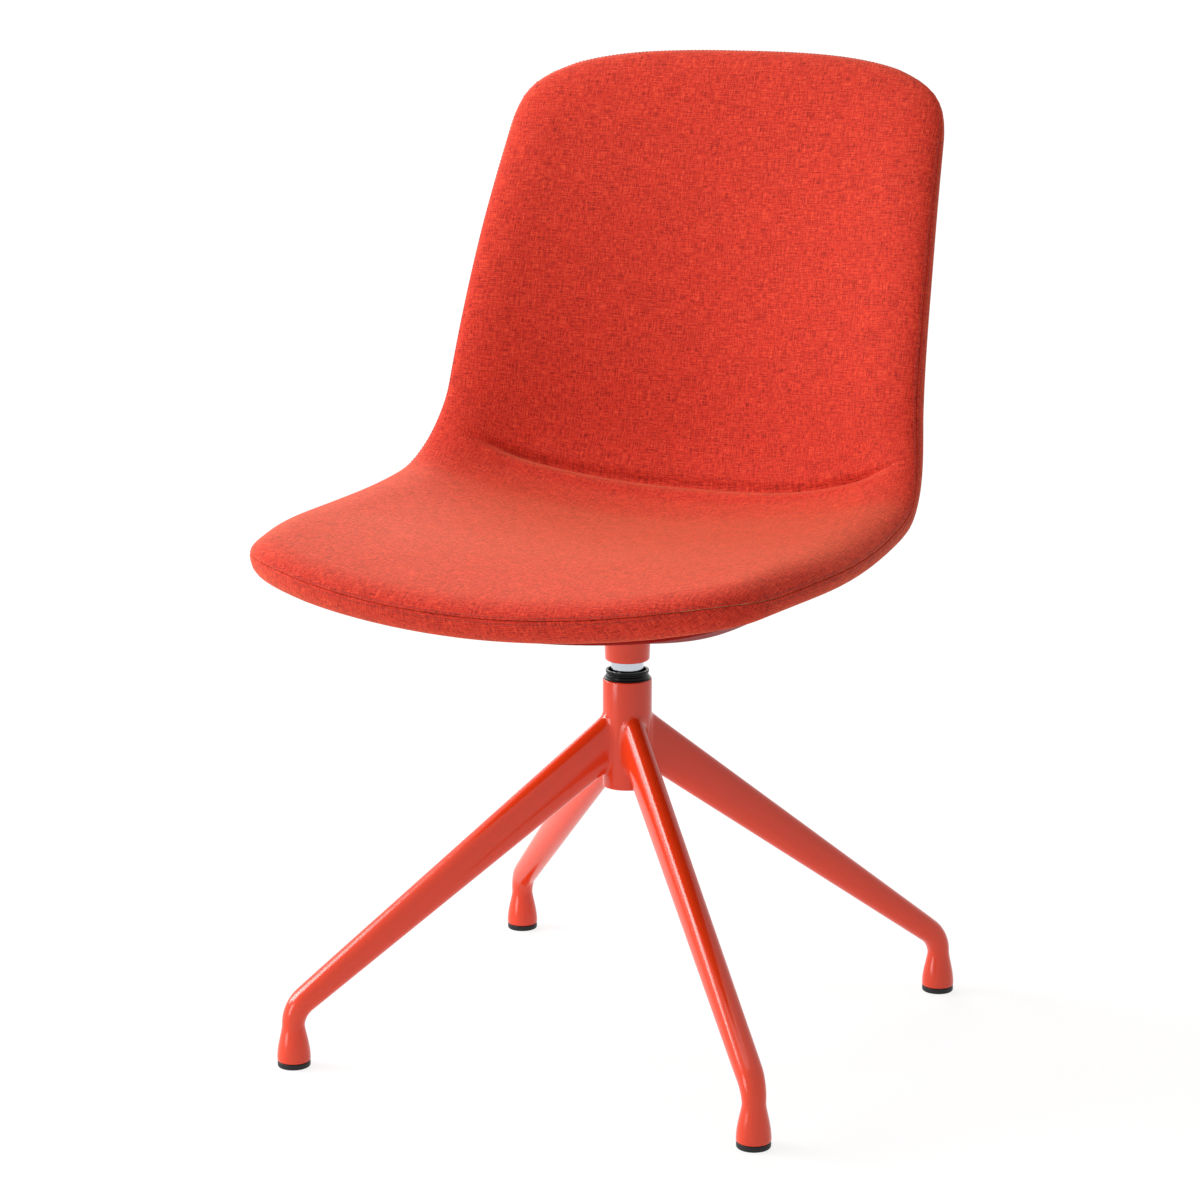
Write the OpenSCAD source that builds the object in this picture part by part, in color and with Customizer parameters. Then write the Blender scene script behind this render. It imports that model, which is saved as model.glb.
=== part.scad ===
// Swivel chair: a one-piece upholstered shell that turns on a four-leg steel base.
// Millimetres, +Z up. The origin is on the floor, on the axis of the column.
// The chair faces -Y. Left is -X and right is +X, seen from in front of the chair.

/* [Base frame] */
// Radius of the circle through the centres of the four feet
foot_circle_r = 300; // [260:1:340]
// Height at which a leg's centreline would meet the axis of its foot
ankle_z = 50; // [46:1:60]
// Height of the point where the four leg centrelines meet, above the column's lower end
leg_meet_h = 53.5; // [46:0.5:60]
// Width of a leg across its oval section
leg_w = 22.5; // [16:0.5:28]
// Height of a leg's section where it meets the column, square to its centreline
leg_root_h = 41; // [32:0.5:46]
// Height of a leg's section where its bend begins
leg_end_h = 22; // [18:0.5:28]
// Squareness of a leg's section: 2 is an ellipse, more is squarer
leg_power = 2.3; // [2:0.1:3]
// Wall of the leg tube
leg_wall = 2; // [1.2:0.1:3]
// Radius of a leg's bend, on its centreline
leg_bend_r = 28; // [22:1:34]

/* [Feet] */
// Diameter of the ankle, where the bend ends and the foot begins
ankle_d = 19.5; // [16:0.5:24]
// Diameter of the foot at its lower end
foot_d = 28.8; // [25:0.2:36]
// Diameter of the glide
glide_d = 28; // [20:0.5:34]
// Height of the glide under the foot
glide_t = 5; // [3:0.5:8]
// Chamfer of the glide's lower edge
glide_chamfer = 1; // [0.4:0.2:2]
// Diameter of the glide's stem
glide_stem_d = 9; // [6:0.5:11]
// Length of the glide's stem above the glide
glide_stem_l = 16; // [10:1:20]

/* [Column] */
// Height of the column's lower end above the floor
column_z = 220; // [205:1:240]
// Length of the column
column_l = 95; // [90:1:110]
// Outer diameter of the column tube
column_d = 42.4; // [40:0.2:50]
// Wall of the column tube
column_wall = 2.6; // [2:0.1:3.2]
// Chamfer of the column's outer edges
column_chamfer = 0.8; // [0.2:0.1:1.4]
// Thickness of the plug that closes the column from below
plug_t = 3; // [2:0.5:5]
// Height of the plug's skirt above its disc
plug_skirt_h = 5; // [3:0.5:6]
// Wall of the plug's skirt
plug_skirt_t = 2; // [1.2:0.2:3]

/* [Bearing] */
// Thickness of the steel plate that is welded into the column
bearing_plate_t = 6; // [4:0.5:8]
// Height of the bearing plate's upper face above the column's lower end
bearing_plate_h = 24; // [22:1:28]
// Diameter of the hole in the bearing plate
bearing_hole_d = 12; // [10:0.5:15]
// Thickness of the thrust washer that the spindle turns on
thrust_washer_t = 3; // [1.5:0.5:5]
// Length of the lower bush
lower_bush_l = 26; // [15:1:30]
// Length of the upper bush inside the column
upper_bush_l = 23; // [15:1:30]
// Height of the upper bush above the column
bush_head_h = 8; // [7:0.5:10]
// Width of the bush's flange on the column's rim
bush_flange_w = 1.6; // [0.8:0.2:2.2]
// Thickness of the bush's flange
bush_flange_t = 1.2; // [0.8:0.2:2]
// Depth of the groove round the bush's head
bush_groove = 0.9; // [0.4:0.1:1.4]
// Depth of the ring-shaped recess in the top of the bush's head
bush_recess_h = 4; // [2:0.5:5]
// Width of that recess, between spindle and lip
bush_recess_w = 2.5; // [1.5:0.1:3]

/* [Spindle] */
// Diameter of the spindle
spindle_d = 28; // [25:0.5:30]
// Chamfer of the spindle's ends
spindle_chamfer = 1.5; // [0.5:0.5:3]
// Length of the spindle that shows between the bush and the collar
spindle_show = 8; // [5:0.5:14]
// Diameter of the collar at its lower end
collar_low_d = 38.5; // [35:0.5:44]
// Diameter of the collar under the mounting plate
collar_top_d = 44; // [40:0.5:50]
// Rounding of the collar's lower edge
collar_round = 2.5; // [1:0.5:4]
// Diameter of the retaining bolt's thread
retaining_bolt_d = 8; // [6:1:10]
// Length of the retaining bolt's thread inside the spindle
retaining_grip = 16; // [10:1:25]
// Height of the retaining bolt's head
retaining_head_h = 5; // [4:0.5:6]
// Outer diameter of the retaining washer
retaining_washer_d = 24; // [20:1:28]
// Thickness of the retaining washer
retaining_washer_t = 2; // [1.5:0.1:3]

/* [Mounting plate] */
// Width of the mounting plate
plate_w = 164; // [150:1:176]
// Depth of the mounting plate, front to back
plate_l = 150; // [136:1:160]
// Thickness of the mounting plate
plate_t = 4; // [3:0.5:6]
// Corner radius of the mounting plate
plate_corner_r = 14; // [8:1:24]
// Distance of the mounting plate's centre in front of the column's axis
plate_forward = 26; // [20:1:32]
// Distance between the bolts, left to right
bolt_span_x = 120; // [100:1:130]
// Distance between the bolts, front to back
bolt_span_y = 108; // [90:1:112]
// Thread diameter of the four bolts
bolt_d = 6; // [5:0.5:7]
// Length of the bolts under the head
bolt_l = 15; // [12:0.5:16]
// Diameter of the bolt heads
bolt_head_d = 11; // [9:0.5:13]
// Height of the bolt heads
bolt_head_h = 3.3; // [2.5:0.1:4]
// Thickness of the spring washers
spring_washer_t = 1.2; // [0.8:0.1:1.6]
// Outer diameter of the threaded inserts
insert_d = 10; // [9:0.5:12]
// Length of the threaded inserts
insert_l = 12; // [9:0.5:12]

/* [Seat profile] */
// Distance of the seat's front edge from the column's axis
front_reach = 302; // [285:1:320]
// Height of the seat's front edge
front_z = 437; // [425:1:460]
// Rise of the sitting surface at the front edge, in degrees
front_rise = 11.3; // [6:0.1:16]
// Length of the curved front of the seat
front_l = 156; // [140:1:170]
// Turn of the curved front, in degrees
front_turn = -12.7; // [-16:0.1:-9]
// Length of the middle of the seat
pan_l = 180; // [165:1:195]
// Turn of the middle of the seat, in degrees
pan_turn = 0.9; // [-1:0.1:3]
// Length of the bend between seat and back
bend_l = 143; // [130:1:160]
// Turn of that bend, in degrees
bend_turn = 78.3; // [74:0.1:82]
// Length of the lower back
lumbar_l = 152; // [130:1:170]
// Turn of the lower back, in degrees
lumbar_turn = -2.7; // [-6:0.1:2]
// Length of the upper back
upper_l = 171; // [150:1:190]
// Turn of the upper back, in degrees
upper_turn = -1.5; // [-5:0.1:2]

/* [Seat width] */
// Half width at the front edge
front_half_w = 208; // [190:1:225]
// Half width at the middle of the seat
seat_half_w = 243; // [225:1:255]
// Half width at the rear of the seat
rear_half_w = 239; // [225:1:250]
// Half width at the bottom of the back
low_back_half_w = 220; // [205:1:235]
// Half width at the middle of the back
mid_back_half_w = 209; // [195:1:225]
// Half width at the top of the back
top_half_w = 199; // [185:1:215]
// Length over which the front corners round off
front_corner_l = 64; // [50:1:80]
// Length over which the top corners round off
top_corner_l = 68; // [50:1:85]

/* [Seat dish] */
// How far the sides stand up from the middle at the front edge
front_lift = 19; // [8:1:26]
// How far the sides stand up at the middle of the seat
seat_lift = 17; // [8:1:26]
// How far the sides stand up at the rear of the seat
rear_lift = 28; // [16:1:38]
// How far the sides stand forward at the bottom of the back
low_back_lift = 54; // [40:1:62]
// How far the sides stand forward at the middle of the back
mid_back_lift = 45; // [30:1:55]
// How far the sides stand forward at the top of the back
top_lift = 10; // [2:1:20]

/* [Upholstery] */
// Thickness of the front cover's fabric
cover_t = 1.5; // [1:0.1:2]
// Thickness of the foam pad
foam_t = 18.4; // [16:0.2:20]
// Thickness of the back cover's padded fabric
back_cover_t = 3; // [2:0.2:4]
// Air left between neighbouring layers
soft_gap = 0.3; // [0.2:0.1:0.5]
// Thickness of the padded edge, from the sitting surface to its lower side
edge_t = 33; // [32:0.5:36]
// Depth of the perimeter seam under the sitting surface
seam_drop = 14; // [12:0.5:17]
// Width of the rounded edge above the seam
edge_round = 16; // [14:0.5:18]
// Width of the rounded edge under the seam
edge_tuck = 13; // [11:0.5:15]
// Depth of the crease where the seat meets the back
crease_d = 6; // [3:0.5:8]
// Half width of the crease, along the profile
crease_w = 9; // [7:0.5:12]

/* [Shell and under-seat cover] */
// Thickness of the moulded shell
shell_t = 6; // [5:0.5:7]
// Distance of the shell's edge inside the padded edge
shell_inset = 21; // [20:0.5:24]
// Height of the shell's bosses above the mounting plate, at the column
boss_h = 10; // [8:0.5:12]
// Diameter of the bosses for the bolts
bolt_boss_d = 22; // [18:0.5:24]
// Diameter of the bosses and posts for the cover's screws
post_d = 12; // [10:0.5:14]
// Wall of the under-seat cover
tray_wall = 2.5; // [1.8:0.1:3]
// Half width of the under-seat cover
tray_half_w = 198; // [185:1:202]
// Distance of the cover's front edge behind the seat's front edge, along the profile
tray_front = 33; // [33:1:50]
// Distance of the cover's rear edge behind the seat's front edge, along the profile
tray_rear = 376; // [368:1:380]
// Depth of the cover's edge under the sitting surface
tray_edge_d = 42; // [38:0.5:44]
// Distance between the cover's screws, left to right
screw_span_x = 200; // [194:1:204]
// Distance between the cover's screws, front to back
screw_span_y = 110; // [96:1:116]
// Diameter of the cover's screws
screw_d = 3.2; // [2.5:0.1:4]
// Length of the cover's screws under the head
screw_l = 20; // [17:0.5:20]
// Diameter of the screw heads
screw_head_d = 7; // [6:0.2:8]
// Height of the screw heads
screw_head_h = 1.8; // [1.4:0.1:2.2]

/* [Hidden] */
$fn = 64;
// Radial clearance of the spindle in its bushes
running_gap = 0.08;
// Clearance under the bearing plate, so that the seat turns freely
end_gap = 0.3;
// Radial clearance of a bolt or screw in a plain hole
hole_gap = 0.3;
// Room left beyond the end of a bolt's head, a screw or a stem
end_room = 0.5;
// Radial clearance of the collar in the under-seat cover
collar_gap = 1.5;
// How far a cut starts outside the solid that it cuts
over = 1;
// Width across the corners of a hexagon head, per thread diameter
hex_ratio = 1.87;
// How far the middle of the shell's edge stands out
shell_crown = 0.1;
// Margin of the back cover's window round the mounting plate and the posts
window_margin = 10;
// How far the middle of the cover's screws lies in front of the middle of the bolts
screw_forward = 9;
// Power of the curve by which the sides stand up, and the half width at which it reaches its size
lift_power = 1.8;
lift_half_w = 215;
// Powers of the rounded front and top outlines
front_power = 2.2;
top_power = 2.8;
// Power of the under-seat cover's outline
tray_power = 4;

// Heights along the column's axis
column_top = column_z + column_l;
column_bore = column_d - 2 * column_wall;
bearing_top = column_z + bearing_plate_h;
bearing_low = bearing_top - bearing_plate_t;
spindle_low = bearing_top + thrust_washer_t;
bush_top = column_top + bush_head_h;
collar_low = bush_top + spindle_show;

// Depths of the layers under the sitting surface
foam_top = cover_t + soft_gap;
foam_low = foam_top + foam_t;
shell_top = foam_low + soft_gap;
shell_low = shell_top + shell_t;
back_in = shell_low + soft_gap;
back_out = back_in + back_cover_t;

// Lengths along the profile
seat_l = front_l + pan_l;
bend_mid = seat_l + bend_l / 2;
shell_l = seat_l + bend_l + lumbar_l + upper_l;
crease_s = bend_mid - 5;

// The profile as five tangent arcs, each [length, turn]
ARCS = [[front_l, front_turn], [pan_l, pan_turn], [bend_l, bend_turn], [lumbar_l, lumbar_turn],
        [upper_l, upper_turn]];

// Point and heading after a length l along an arc that begins at [s, y, z, heading]
function along(p, l, turn_per_mm) =
    let (k = abs(turn_per_mm) < 1e-6 ? 1e-6 : turn_per_mm, h = p[3] + k * l, r = 180 / PI / k)
    [p[0] + l, p[1] + r * (sin(h) - sin(p[3])), p[2] - r * (cos(h) - cos(p[3])), h];

// Where each arc begins
function arc_starts(i = 0, p = [0, -front_reach, front_z, front_rise]) =
    i == len(ARCS) ? [] :
    concat([p], arc_starts(i + 1, along(p, ARCS[i][0], ARCS[i][1] / ARCS[i][0])));
STARTS = arc_starts();

// Middle of the sitting surface at a length s from the front edge: [s, y, z, heading]
function profile(s) =
    let (i = max(0, len([for (p = STARTS) if (p[0] <= s) 1]) - 1))
    along(STARTS[i], s - STARTS[i][0], ARCS[i][1] / ARCS[i][0]);

// Length along the profile at which it passes a given y on the seat
function s_at(y, low = 0, high = seat_l + bend_l, n = 30) =
    let (mid = (low + high) / 2)
    n == 0 ? mid : profile(mid)[1] < y ? s_at(y, mid, high, n - 1) : s_at(y, low, mid, n - 1);

// Stations along the profile, and the half widths and lifts there
STATIONS = [0, 0.45 * seat_l, 0.92 * seat_l, bend_mid + 45, (bend_mid + shell_l) / 2 + 20, shell_l];
WIDTHS = [front_half_w, seat_half_w, rear_half_w, low_back_half_w, mid_back_half_w, top_half_w];
LIFTS = [front_lift, seat_lift, rear_lift, low_back_lift, mid_back_lift, top_lift];

// Smooth curve through values v at the stations
function slope(v, i) =
    let (n = len(v) - 1)
    i == 0 ? (v[1] - v[0]) / (STATIONS[1] - STATIONS[0]) :
    i == n ? (v[n] - v[n - 1]) / (STATIONS[n] - STATIONS[n - 1]) :
    let (a = STATIONS[i] - STATIONS[i - 1], b = STATIONS[i + 1] - STATIONS[i])
    ((v[i] - v[i - 1]) / a * b + (v[i + 1] - v[i]) / b * a) / (a + b);
function between(s, v) =
    let (i = min(len(v) - 2, max(0, len([for (k = STATIONS) if (k < s) 1]) - 1)),
         h = STATIONS[i + 1] - STATIONS[i], t = (s - STATIONS[i]) / h, u = t * t, w = u * t)
    (2 * w - 3 * u + 1) * v[i] + (w - 2 * u + t) * h * slope(v, i)
    + (3 * u - 2 * w) * v[i + 1] + (w - u) * h * slope(v, i + 1);

// Smooth step from 0 at a to 1 at b
function ease(a, b, x) = let (t = min(1, max(0, (x - a) / (b - a)))) t * t * (3 - 2 * t);

// Point of the sitting surface at x across and s along
function sitting(x, s) =
    let (p = profile(s), lift = between(s, LIFTS) * pow(abs(x) / lift_half_w, lift_power))
    [x, p[1] - sin(p[3]) * lift, p[2] + cos(p[3]) * lift];

// Point at a depth under the sitting surface, square to it
function under(x, s, depth) =
    let (n = cross(sitting(x + 1, s) - sitting(x - 1, s), sitting(x, s + 1) - sitting(x, s - 1)))
    sitting(x, s) - n * depth / norm(n);

// Depth of the crease, which fades out towards the sides
function crease(x, s) =
    crease_d * exp(-pow((s - crease_s) / crease_w, 2))
    * (1 - ease(0.7, 0.95, abs(x) / between(s, WIDTHS)));

// How far behind the front edge a rounded corner is at an angle t, and how far below the top edge
function front_fall(t) = front_corner_l * (1 - pow(sin(t), 2 / front_power));
function top_fall(t) = top_corner_l * (1 - pow(sin(t), 2 / top_power));

// Outline of the upholstery, flat, as [x, s]: grid_u steps across, and the rows along each side
grid_u = 10;
corner_turn = 45;
long_rows = 6;
crease_room = 40;
// Rows across the crease, in half widths of it
CREASE_ROWS = [-2.4, -1.2, -0.6, 0, 0.6, 1.2, 2.4];
ROWS = concat([front_fall(corner_turn), front_fall(corner_turn / 2)],
              [for (i = [0:long_rows]) let (a = front_corner_l, b = crease_s - crease_room)
                  a + (b - a) * i / long_rows],
              [for (d = CREASE_ROWS) crease_s + d * crease_w],
              [for (i = [0:long_rows]) let (a = crease_s + crease_room, b = shell_l - 0.75 * top_corner_l)
                  a + (b - a) * i / long_rows],
              [shell_l - top_fall(corner_turn / 2), shell_l - top_fall(corner_turn)]);
grid_v = len(ROWS) - 1;
rim_n = 2 * (grid_u + grid_v);

// Share of the full half width at s, less than 1 in the rounded corners
function corner_share(s) =
    s < front_corner_l ? pow(1 - pow(1 - s / front_corner_l, front_power), 1 / front_power) :
    s > shell_l - top_corner_l ?
        pow(1 - pow(1 - (shell_l - s) / top_corner_l, top_power), 1 / top_power) : 1;

// Point i of the front edge, or of the top edge, from left to right
function end_point(i, top) =
    let (f = 2 * i / grid_u - 1, t = 90 - (90 - corner_turn) * abs(f),
         p = top ? top_power : front_power, s = top ? shell_l - top_fall(t) : front_fall(t))
    [sign(f) * between(s, WIDTHS) * pow(cos(t), 2 / p), s];

// Column and row of the k-th point round the rim, counter-clockwise from the front left corner
function rim_cell(k) =
    k < grid_u ? [k, 0] : k < grid_u + grid_v ? [grid_u, k - grid_u] :
    k < 2 * grid_u + grid_v ? [2 * grid_u + grid_v - k, grid_v] : [0, rim_n - k];
function rim_flat(k) =
    let (c = rim_cell(k))
    c[1] == 0 ? end_point(c[0], false) : c[1] == grid_v ? end_point(c[0], true) :
    [sign(c[0] - 1) * between(ROWS[c[1]], WIDTHS) * corner_share(ROWS[c[1]]), ROWS[c[1]]];
RIM = [for (k = [0:rim_n - 1]) rim_flat(k)];

// Rim moved inwards by a distance
function rim_in(k, inset) =
    let (d = RIM[(k + 1) % rim_n] - RIM[(k + rim_n - 1) % rim_n])
    RIM[k] + inset * [-d[1], d[0]] / norm(d);
INNER = [for (k = [0:rim_n - 1]) rim_in(k, shell_inset)];

// Grid that fills the inner rim: its four edges blended across
function fill(i, j) =
    let (u = i / grid_u, v = (ROWS[j] - ROWS[0]) / (ROWS[grid_v] - ROWS[0]),
         front = INNER[i], top = INNER[2 * grid_u + grid_v - i],
         left = INNER[(rim_n - j) % rim_n], right = INNER[grid_u + j],
         a = INNER[0], b = INNER[grid_u], c = INNER[grid_u + grid_v], d = INNER[2 * grid_u + grid_v])
    (1 - v) * front + v * top + (1 - u) * left + u * right
    - (1 - v) * ((1 - u) * a + u * b) - v * ((1 - u) * d + u * c);
FILL = [for (j = [0:grid_v]) for (i = [0:grid_u]) fill(i, j)];

// Place of a flat point at a depth; relief 1 takes part in the crease
function placed(p, depth, relief) =
    under(p[0], p[1], depth + (relief > 0 ? crease(p[0], p[1]) : 0));

// Rounded edge above and under the seam, inside the outer skin by t: [inset, depth] per step
rim_steps = 3;
function upper_edge(t) = [for (i = [0:rim_steps]) let (a = 90 * i / rim_steps)
    [t + (edge_round - t) * (1 - sin(a)), t + (seam_drop - t) * (1 - cos(a))]];
function lower_edge(t, gap = 0) = [for (i = [0:rim_steps]) let (a = 90 * i / rim_steps)
    [t + (edge_tuck - t) * (1 - cos(a)), seam_drop + gap + (edge_t - seam_drop - gap - t) * sin(a)]];
function reversed(v) = [for (i = [len(v) - 1:-1:0]) v[i]];

// Closed layer: a top grid, rings round the edge as [inset, depth, relief], and a bottom grid
function grid_id(c) = c[1] * (grid_u + 1) + c[0];
module layer(top, rings, low) {
    n_grid = len(FILL);
    m = len(rings);
    points = concat([for (p = FILL) placed(p, top[0], top[1])],
                    [for (r = rings) for (k = [0:rim_n - 1]) placed(rim_in(k, r[0]), r[1], r[2])],
                    [for (p = FILL) placed(p, low[0], low[1])]);
    low_id = n_grid + m * rim_n;
    loops = concat([[for (k = [0:rim_n - 1]) grid_id(rim_cell(k))]],
                   [for (r = [0:m - 1]) [for (k = [0:rim_n - 1]) n_grid + r * rim_n + k]],
                   [[for (k = [0:rim_n - 1]) low_id + grid_id(rim_cell(k))]]);
    top_faces = [for (j = [0:grid_v - 1]) for (i = [0:grid_u - 1])
        let (a = grid_id([i, j]), b = a + 1, c = b + grid_u + 1, d = c - 1)
        each [[c, b, a], [d, c, a]]];
    low_faces = [for (f = top_faces) [low_id + f[2], low_id + f[1], low_id + f[0]]];
    // A quad's diagonal joins the inner ring's point k to the outer ring's point k + 1, so that
    // neighbouring layers are cut into triangles alike
    insets = concat([shell_inset], [for (r = rings) r[0]], [shell_inset]);
    sides = [for (l = [0:len(loops) - 2]) for (k = [0:rim_n - 1])
        let (q = (k + 1) % rim_n, a = loops[l][k], b = loops[l][q],
             c = loops[l + 1][q], d = loops[l + 1][k])
        each (insets[l + 1] < insets[l] ? [[c, d, a], [b, c, a]] : [[d, a, b], [c, d, b]])];
    polyhedron(points = points, faces = concat(top_faces, sides, low_faces));
}
function with_relief(rings, relief) = [for (r = rings) [r[0], r[1], relief]];

// Heights of the shell and of what hangs under it
plate_top = sitting(0, s_at(0))[2] - shell_low - boss_h + shell_t / 2;
plate_low = plate_top - plate_t;
tray_low = plate_low - spring_washer_t - bolt_head_h - end_room - tray_wall;
function boss_top(x, y) = under(x, s_at(y), shell_top + shell_t / 2)[2];

// Places of the bolts and of the cover's screws
BOLTS = [for (x = [-1, 1]) for (y = [-1, 1]) [x * bolt_span_x / 2, y * bolt_span_y / 2 - plate_forward]];
SCREWS = [for (x = [-1, 1]) for (y = [-1, 1])
    [x * screw_span_x / 2, y * screw_span_y / 2 - plate_forward - screw_forward]];

// Leg: its slope, and where its bend begins and ends
leg_top_z = column_z + leg_meet_h;
leg_slope = atan((leg_top_z - ankle_z) / foot_circle_r);
bend_tangent = leg_bend_r * tan((90 - leg_slope) / 2);
foot_top = ankle_z - bend_tangent;
leg_steps = 8;
leg_sides = 28;
// How far the tube runs into the foot, and how much wider than the tube the foot begins
foot_overlap = 2;
foot_collar = 0.5;

// How far a leg's root stays clear of the column, so that its facets don't cut into the tube
root_gap = 0.05;

// Stations of a leg, from the column's axis to the ankle: [r, z, slope, width, height]
bend_start_r = foot_circle_r - bend_tangent * cos(leg_slope);
function straight(r) =
    [r, leg_top_z - r * tan(leg_slope), leg_slope, leg_w,
     leg_root_h + (leg_end_h - leg_root_h) * (r - column_d / 2) / (bend_start_r - column_d / 2)];
LEG = concat([straight(0), straight(bend_start_r)],
    [for (i = [1:leg_steps])
        let (t = i / leg_steps, a = leg_slope + (90 - leg_slope) * t)
        [foot_circle_r - leg_bend_r * (1 - sin(a)), foot_top + leg_bend_r * cos(a), a,
         leg_w + (ankle_d - leg_w) * t, leg_end_h + (ankle_d - leg_end_h) * t]],
    [[foot_circle_r, foot_top - foot_overlap, 90, ankle_d, ankle_d]]);

// Point k of the oval round station p, inside the outer skin by a wall
function leg_point(p, k, wall) =
    let (a = 360 * (k + 0.5) / leg_sides, e = 2 / (2 + (leg_power - 2) * (90 - p[2]) / (90 - leg_slope)),
         v = sign(cos(a)) * pow(abs(cos(a)), e) * (p[4] / 2 - wall),
         w = sign(sin(a)) * pow(abs(sin(a)), e) * (p[3] / 2 - wall))
    [p[0] + v * sin(p[2]), w, p[1] + v * cos(p[2])];

// Point k of the root, where that line of the tube meets the column
function root_point(k, wall) =
    let (a = leg_point(LEG[0], k, wall), b = leg_point(LEG[1], k, wall),
         x = sqrt(pow(column_d / 2 + root_gap, 2) - a[1] * a[1]))
    a + (b - a) * (x - a[0]) / (b[0] - a[0]);

// Open tube of one wall along the stations, cut to the column's round at its root
module leg_tube() {
    n = leg_sides;
    m = len(LEG);
    points = [for (wall = [0, leg_wall]) for (j = [0:m - 1]) for (k = [0:n - 1])
        j == 0 ? root_point(k, wall) : leg_point(LEG[j], k, wall)];
    // Each band joins ring a to ring b, which lies to the right of it seen from outside
    bands = concat([for (j = [0:m - 2]) [j, j + 1]], [for (j = [0:m - 2]) [m + j + 1, m + j]],
                   [[m - 1, 2 * m - 1], [m, 0]]);
    faces = [for (r = bands) for (k = [0:n - 1])
        let (q = (k + 1) % n, a = r[0] * n, b = r[1] * n)
        each [[a + k, a + q, b + q], [a + k, b + q, b + k]]];
    polyhedron(points = points, faces = faces);
}

// Foot: a bell that widens from the ankle to the glide
module foot() {
    steps = 10;
    rotate_extrude()
        polygon(concat([[0, glide_t], [foot_d / 2, glide_t]],
            [for (i = [1:steps]) let (t = i / steps, neck = ankle_d / 2 + foot_collar / 2)
                [neck + (foot_d / 2 - neck) * cos(90 * t), glide_t + (foot_top - glide_t) * t]],
            [[0, foot_top]]));
}

module leg(angle) {
    color("orangered") rotate(angle) difference() {
        union() {
            leg_tube();
            translate([foot_circle_r, 0, 0]) foot();
        }
        translate([foot_circle_r, 0, glide_t - over])
            cylinder(d = glide_stem_d, h = over + glide_stem_l + end_room);
    }
}
module leg_front_left() { leg(225); }
module leg_front_right() { leg(315); }
module leg_rear_left() { leg(135); }
module leg_rear_right() { leg(45); }

module glide(angle) {
    color("black") rotate(angle) translate([foot_circle_r, 0, 0]) rotate_extrude()
        polygon([[0, 0], [glide_d / 2 - glide_chamfer, 0], [glide_d / 2, glide_chamfer],
                 [glide_d / 2, glide_t], [glide_stem_d / 2, glide_t],
                 [glide_stem_d / 2, glide_t + glide_stem_l], [0, glide_t + glide_stem_l]]);
}
module glide_front_left() { glide(225); }
module glide_front_right() { glide(315); }
module glide_rear_left() { glide(135); }
module glide_rear_right() { glide(45); }

module column_tube() {
    color("orangered") translate([0, 0, column_z]) rotate_extrude()
        polygon([[column_bore / 2, 0], [column_d / 2 - column_chamfer, 0], [column_d / 2, column_chamfer],
                 [column_d / 2, column_l - column_chamfer], [column_d / 2 - column_chamfer, column_l],
                 [column_bore / 2, column_l]]);
}

module column_plug() {
    color("black") translate([0, 0, column_z]) difference() {
        cylinder(d = column_bore, h = plug_t + plug_skirt_h);
        translate([0, 0, plug_t]) cylinder(d = column_bore - 2 * plug_skirt_t, h = plug_skirt_h + over);
    }
}

module bearing_plate() {
    color("dimgray") translate([0, 0, bearing_low]) difference() {
        cylinder(d = column_bore, h = bearing_plate_t);
        translate([0, 0, -over]) cylinder(d = bearing_hole_d, h = bearing_plate_t + 2 * over);
    }
}

module thrust_washer() {
    color("ivory") translate([0, 0, bearing_top]) difference() {
        cylinder(d = spindle_d, h = thrust_washer_t);
        translate([0, 0, -over]) cylinder(d = bearing_hole_d, h = thrust_washer_t + 2 * over);
    }
}

module lower_bush() {
    color("ivory") translate([0, 0, bearing_top]) difference() {
        cylinder(d = column_bore, h = lower_bush_l);
        translate([0, 0, -over]) cylinder(r = spindle_d / 2 + running_gap, h = lower_bush_l + 2 * over);
    }
}

module upper_bush() {
    flange_r = column_bore / 2 + bush_flange_w;
    head_r = column_bore / 2;
    groove_low = bush_head_h * 0.4;
    groove_high = bush_head_h * 0.7;
    slope_h = 0.6;
    color("black") translate([0, 0, column_top]) difference() {
        rotate_extrude()
            polygon([[0, -upper_bush_l], [column_bore / 2, -upper_bush_l], [column_bore / 2, 0],
                     [flange_r, 0], [flange_r, bush_flange_t], [head_r, bush_flange_t],
                     [head_r, groove_low], [head_r - bush_groove, groove_low + slope_h],
                     [head_r - bush_groove, groove_high - slope_h], [head_r, groove_high],
                     [head_r, bush_head_h], [0, bush_head_h]]);
        translate([0, 0, -upper_bush_l - over])
            cylinder(r = spindle_d / 2 + running_gap, h = upper_bush_l + bush_head_h + 2 * over);
        translate([0, 0, bush_head_h - bush_recess_h])
            cylinder(r = spindle_d / 2 + bush_recess_w, h = bush_recess_h + over);
    }
}

module spindle() {
    l = plate_low - spindle_low;
    color("silver") translate([0, 0, spindle_low]) difference() {
        rotate_extrude()
            polygon([[0, 0], [spindle_d / 2 - spindle_chamfer, 0], [spindle_d / 2, spindle_chamfer],
                     [spindle_d / 2, l], [0, l]]);
        translate([0, 0, -over]) cylinder(d = retaining_bolt_d, h = retaining_grip + 2 * over);
    }
}

module retaining_washer() {
    color("silver") translate([0, 0, bearing_low - end_gap - retaining_washer_t]) difference() {
        cylinder(d = retaining_washer_d, h = retaining_washer_t);
        translate([0, 0, -over]) cylinder(d = retaining_bolt_d, h = retaining_washer_t + 2 * over);
    }
}

module retaining_bolt() {
    head_top = bearing_low - end_gap - retaining_washer_t;
    color("silver") {
        translate([0, 0, head_top])
            cylinder(d = retaining_bolt_d, h = spindle_low + retaining_grip - head_top);
        translate([0, 0, head_top - retaining_head_h])
            cylinder(d = retaining_bolt_d * hex_ratio, h = retaining_head_h, $fn = 6);
    }
}

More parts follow.
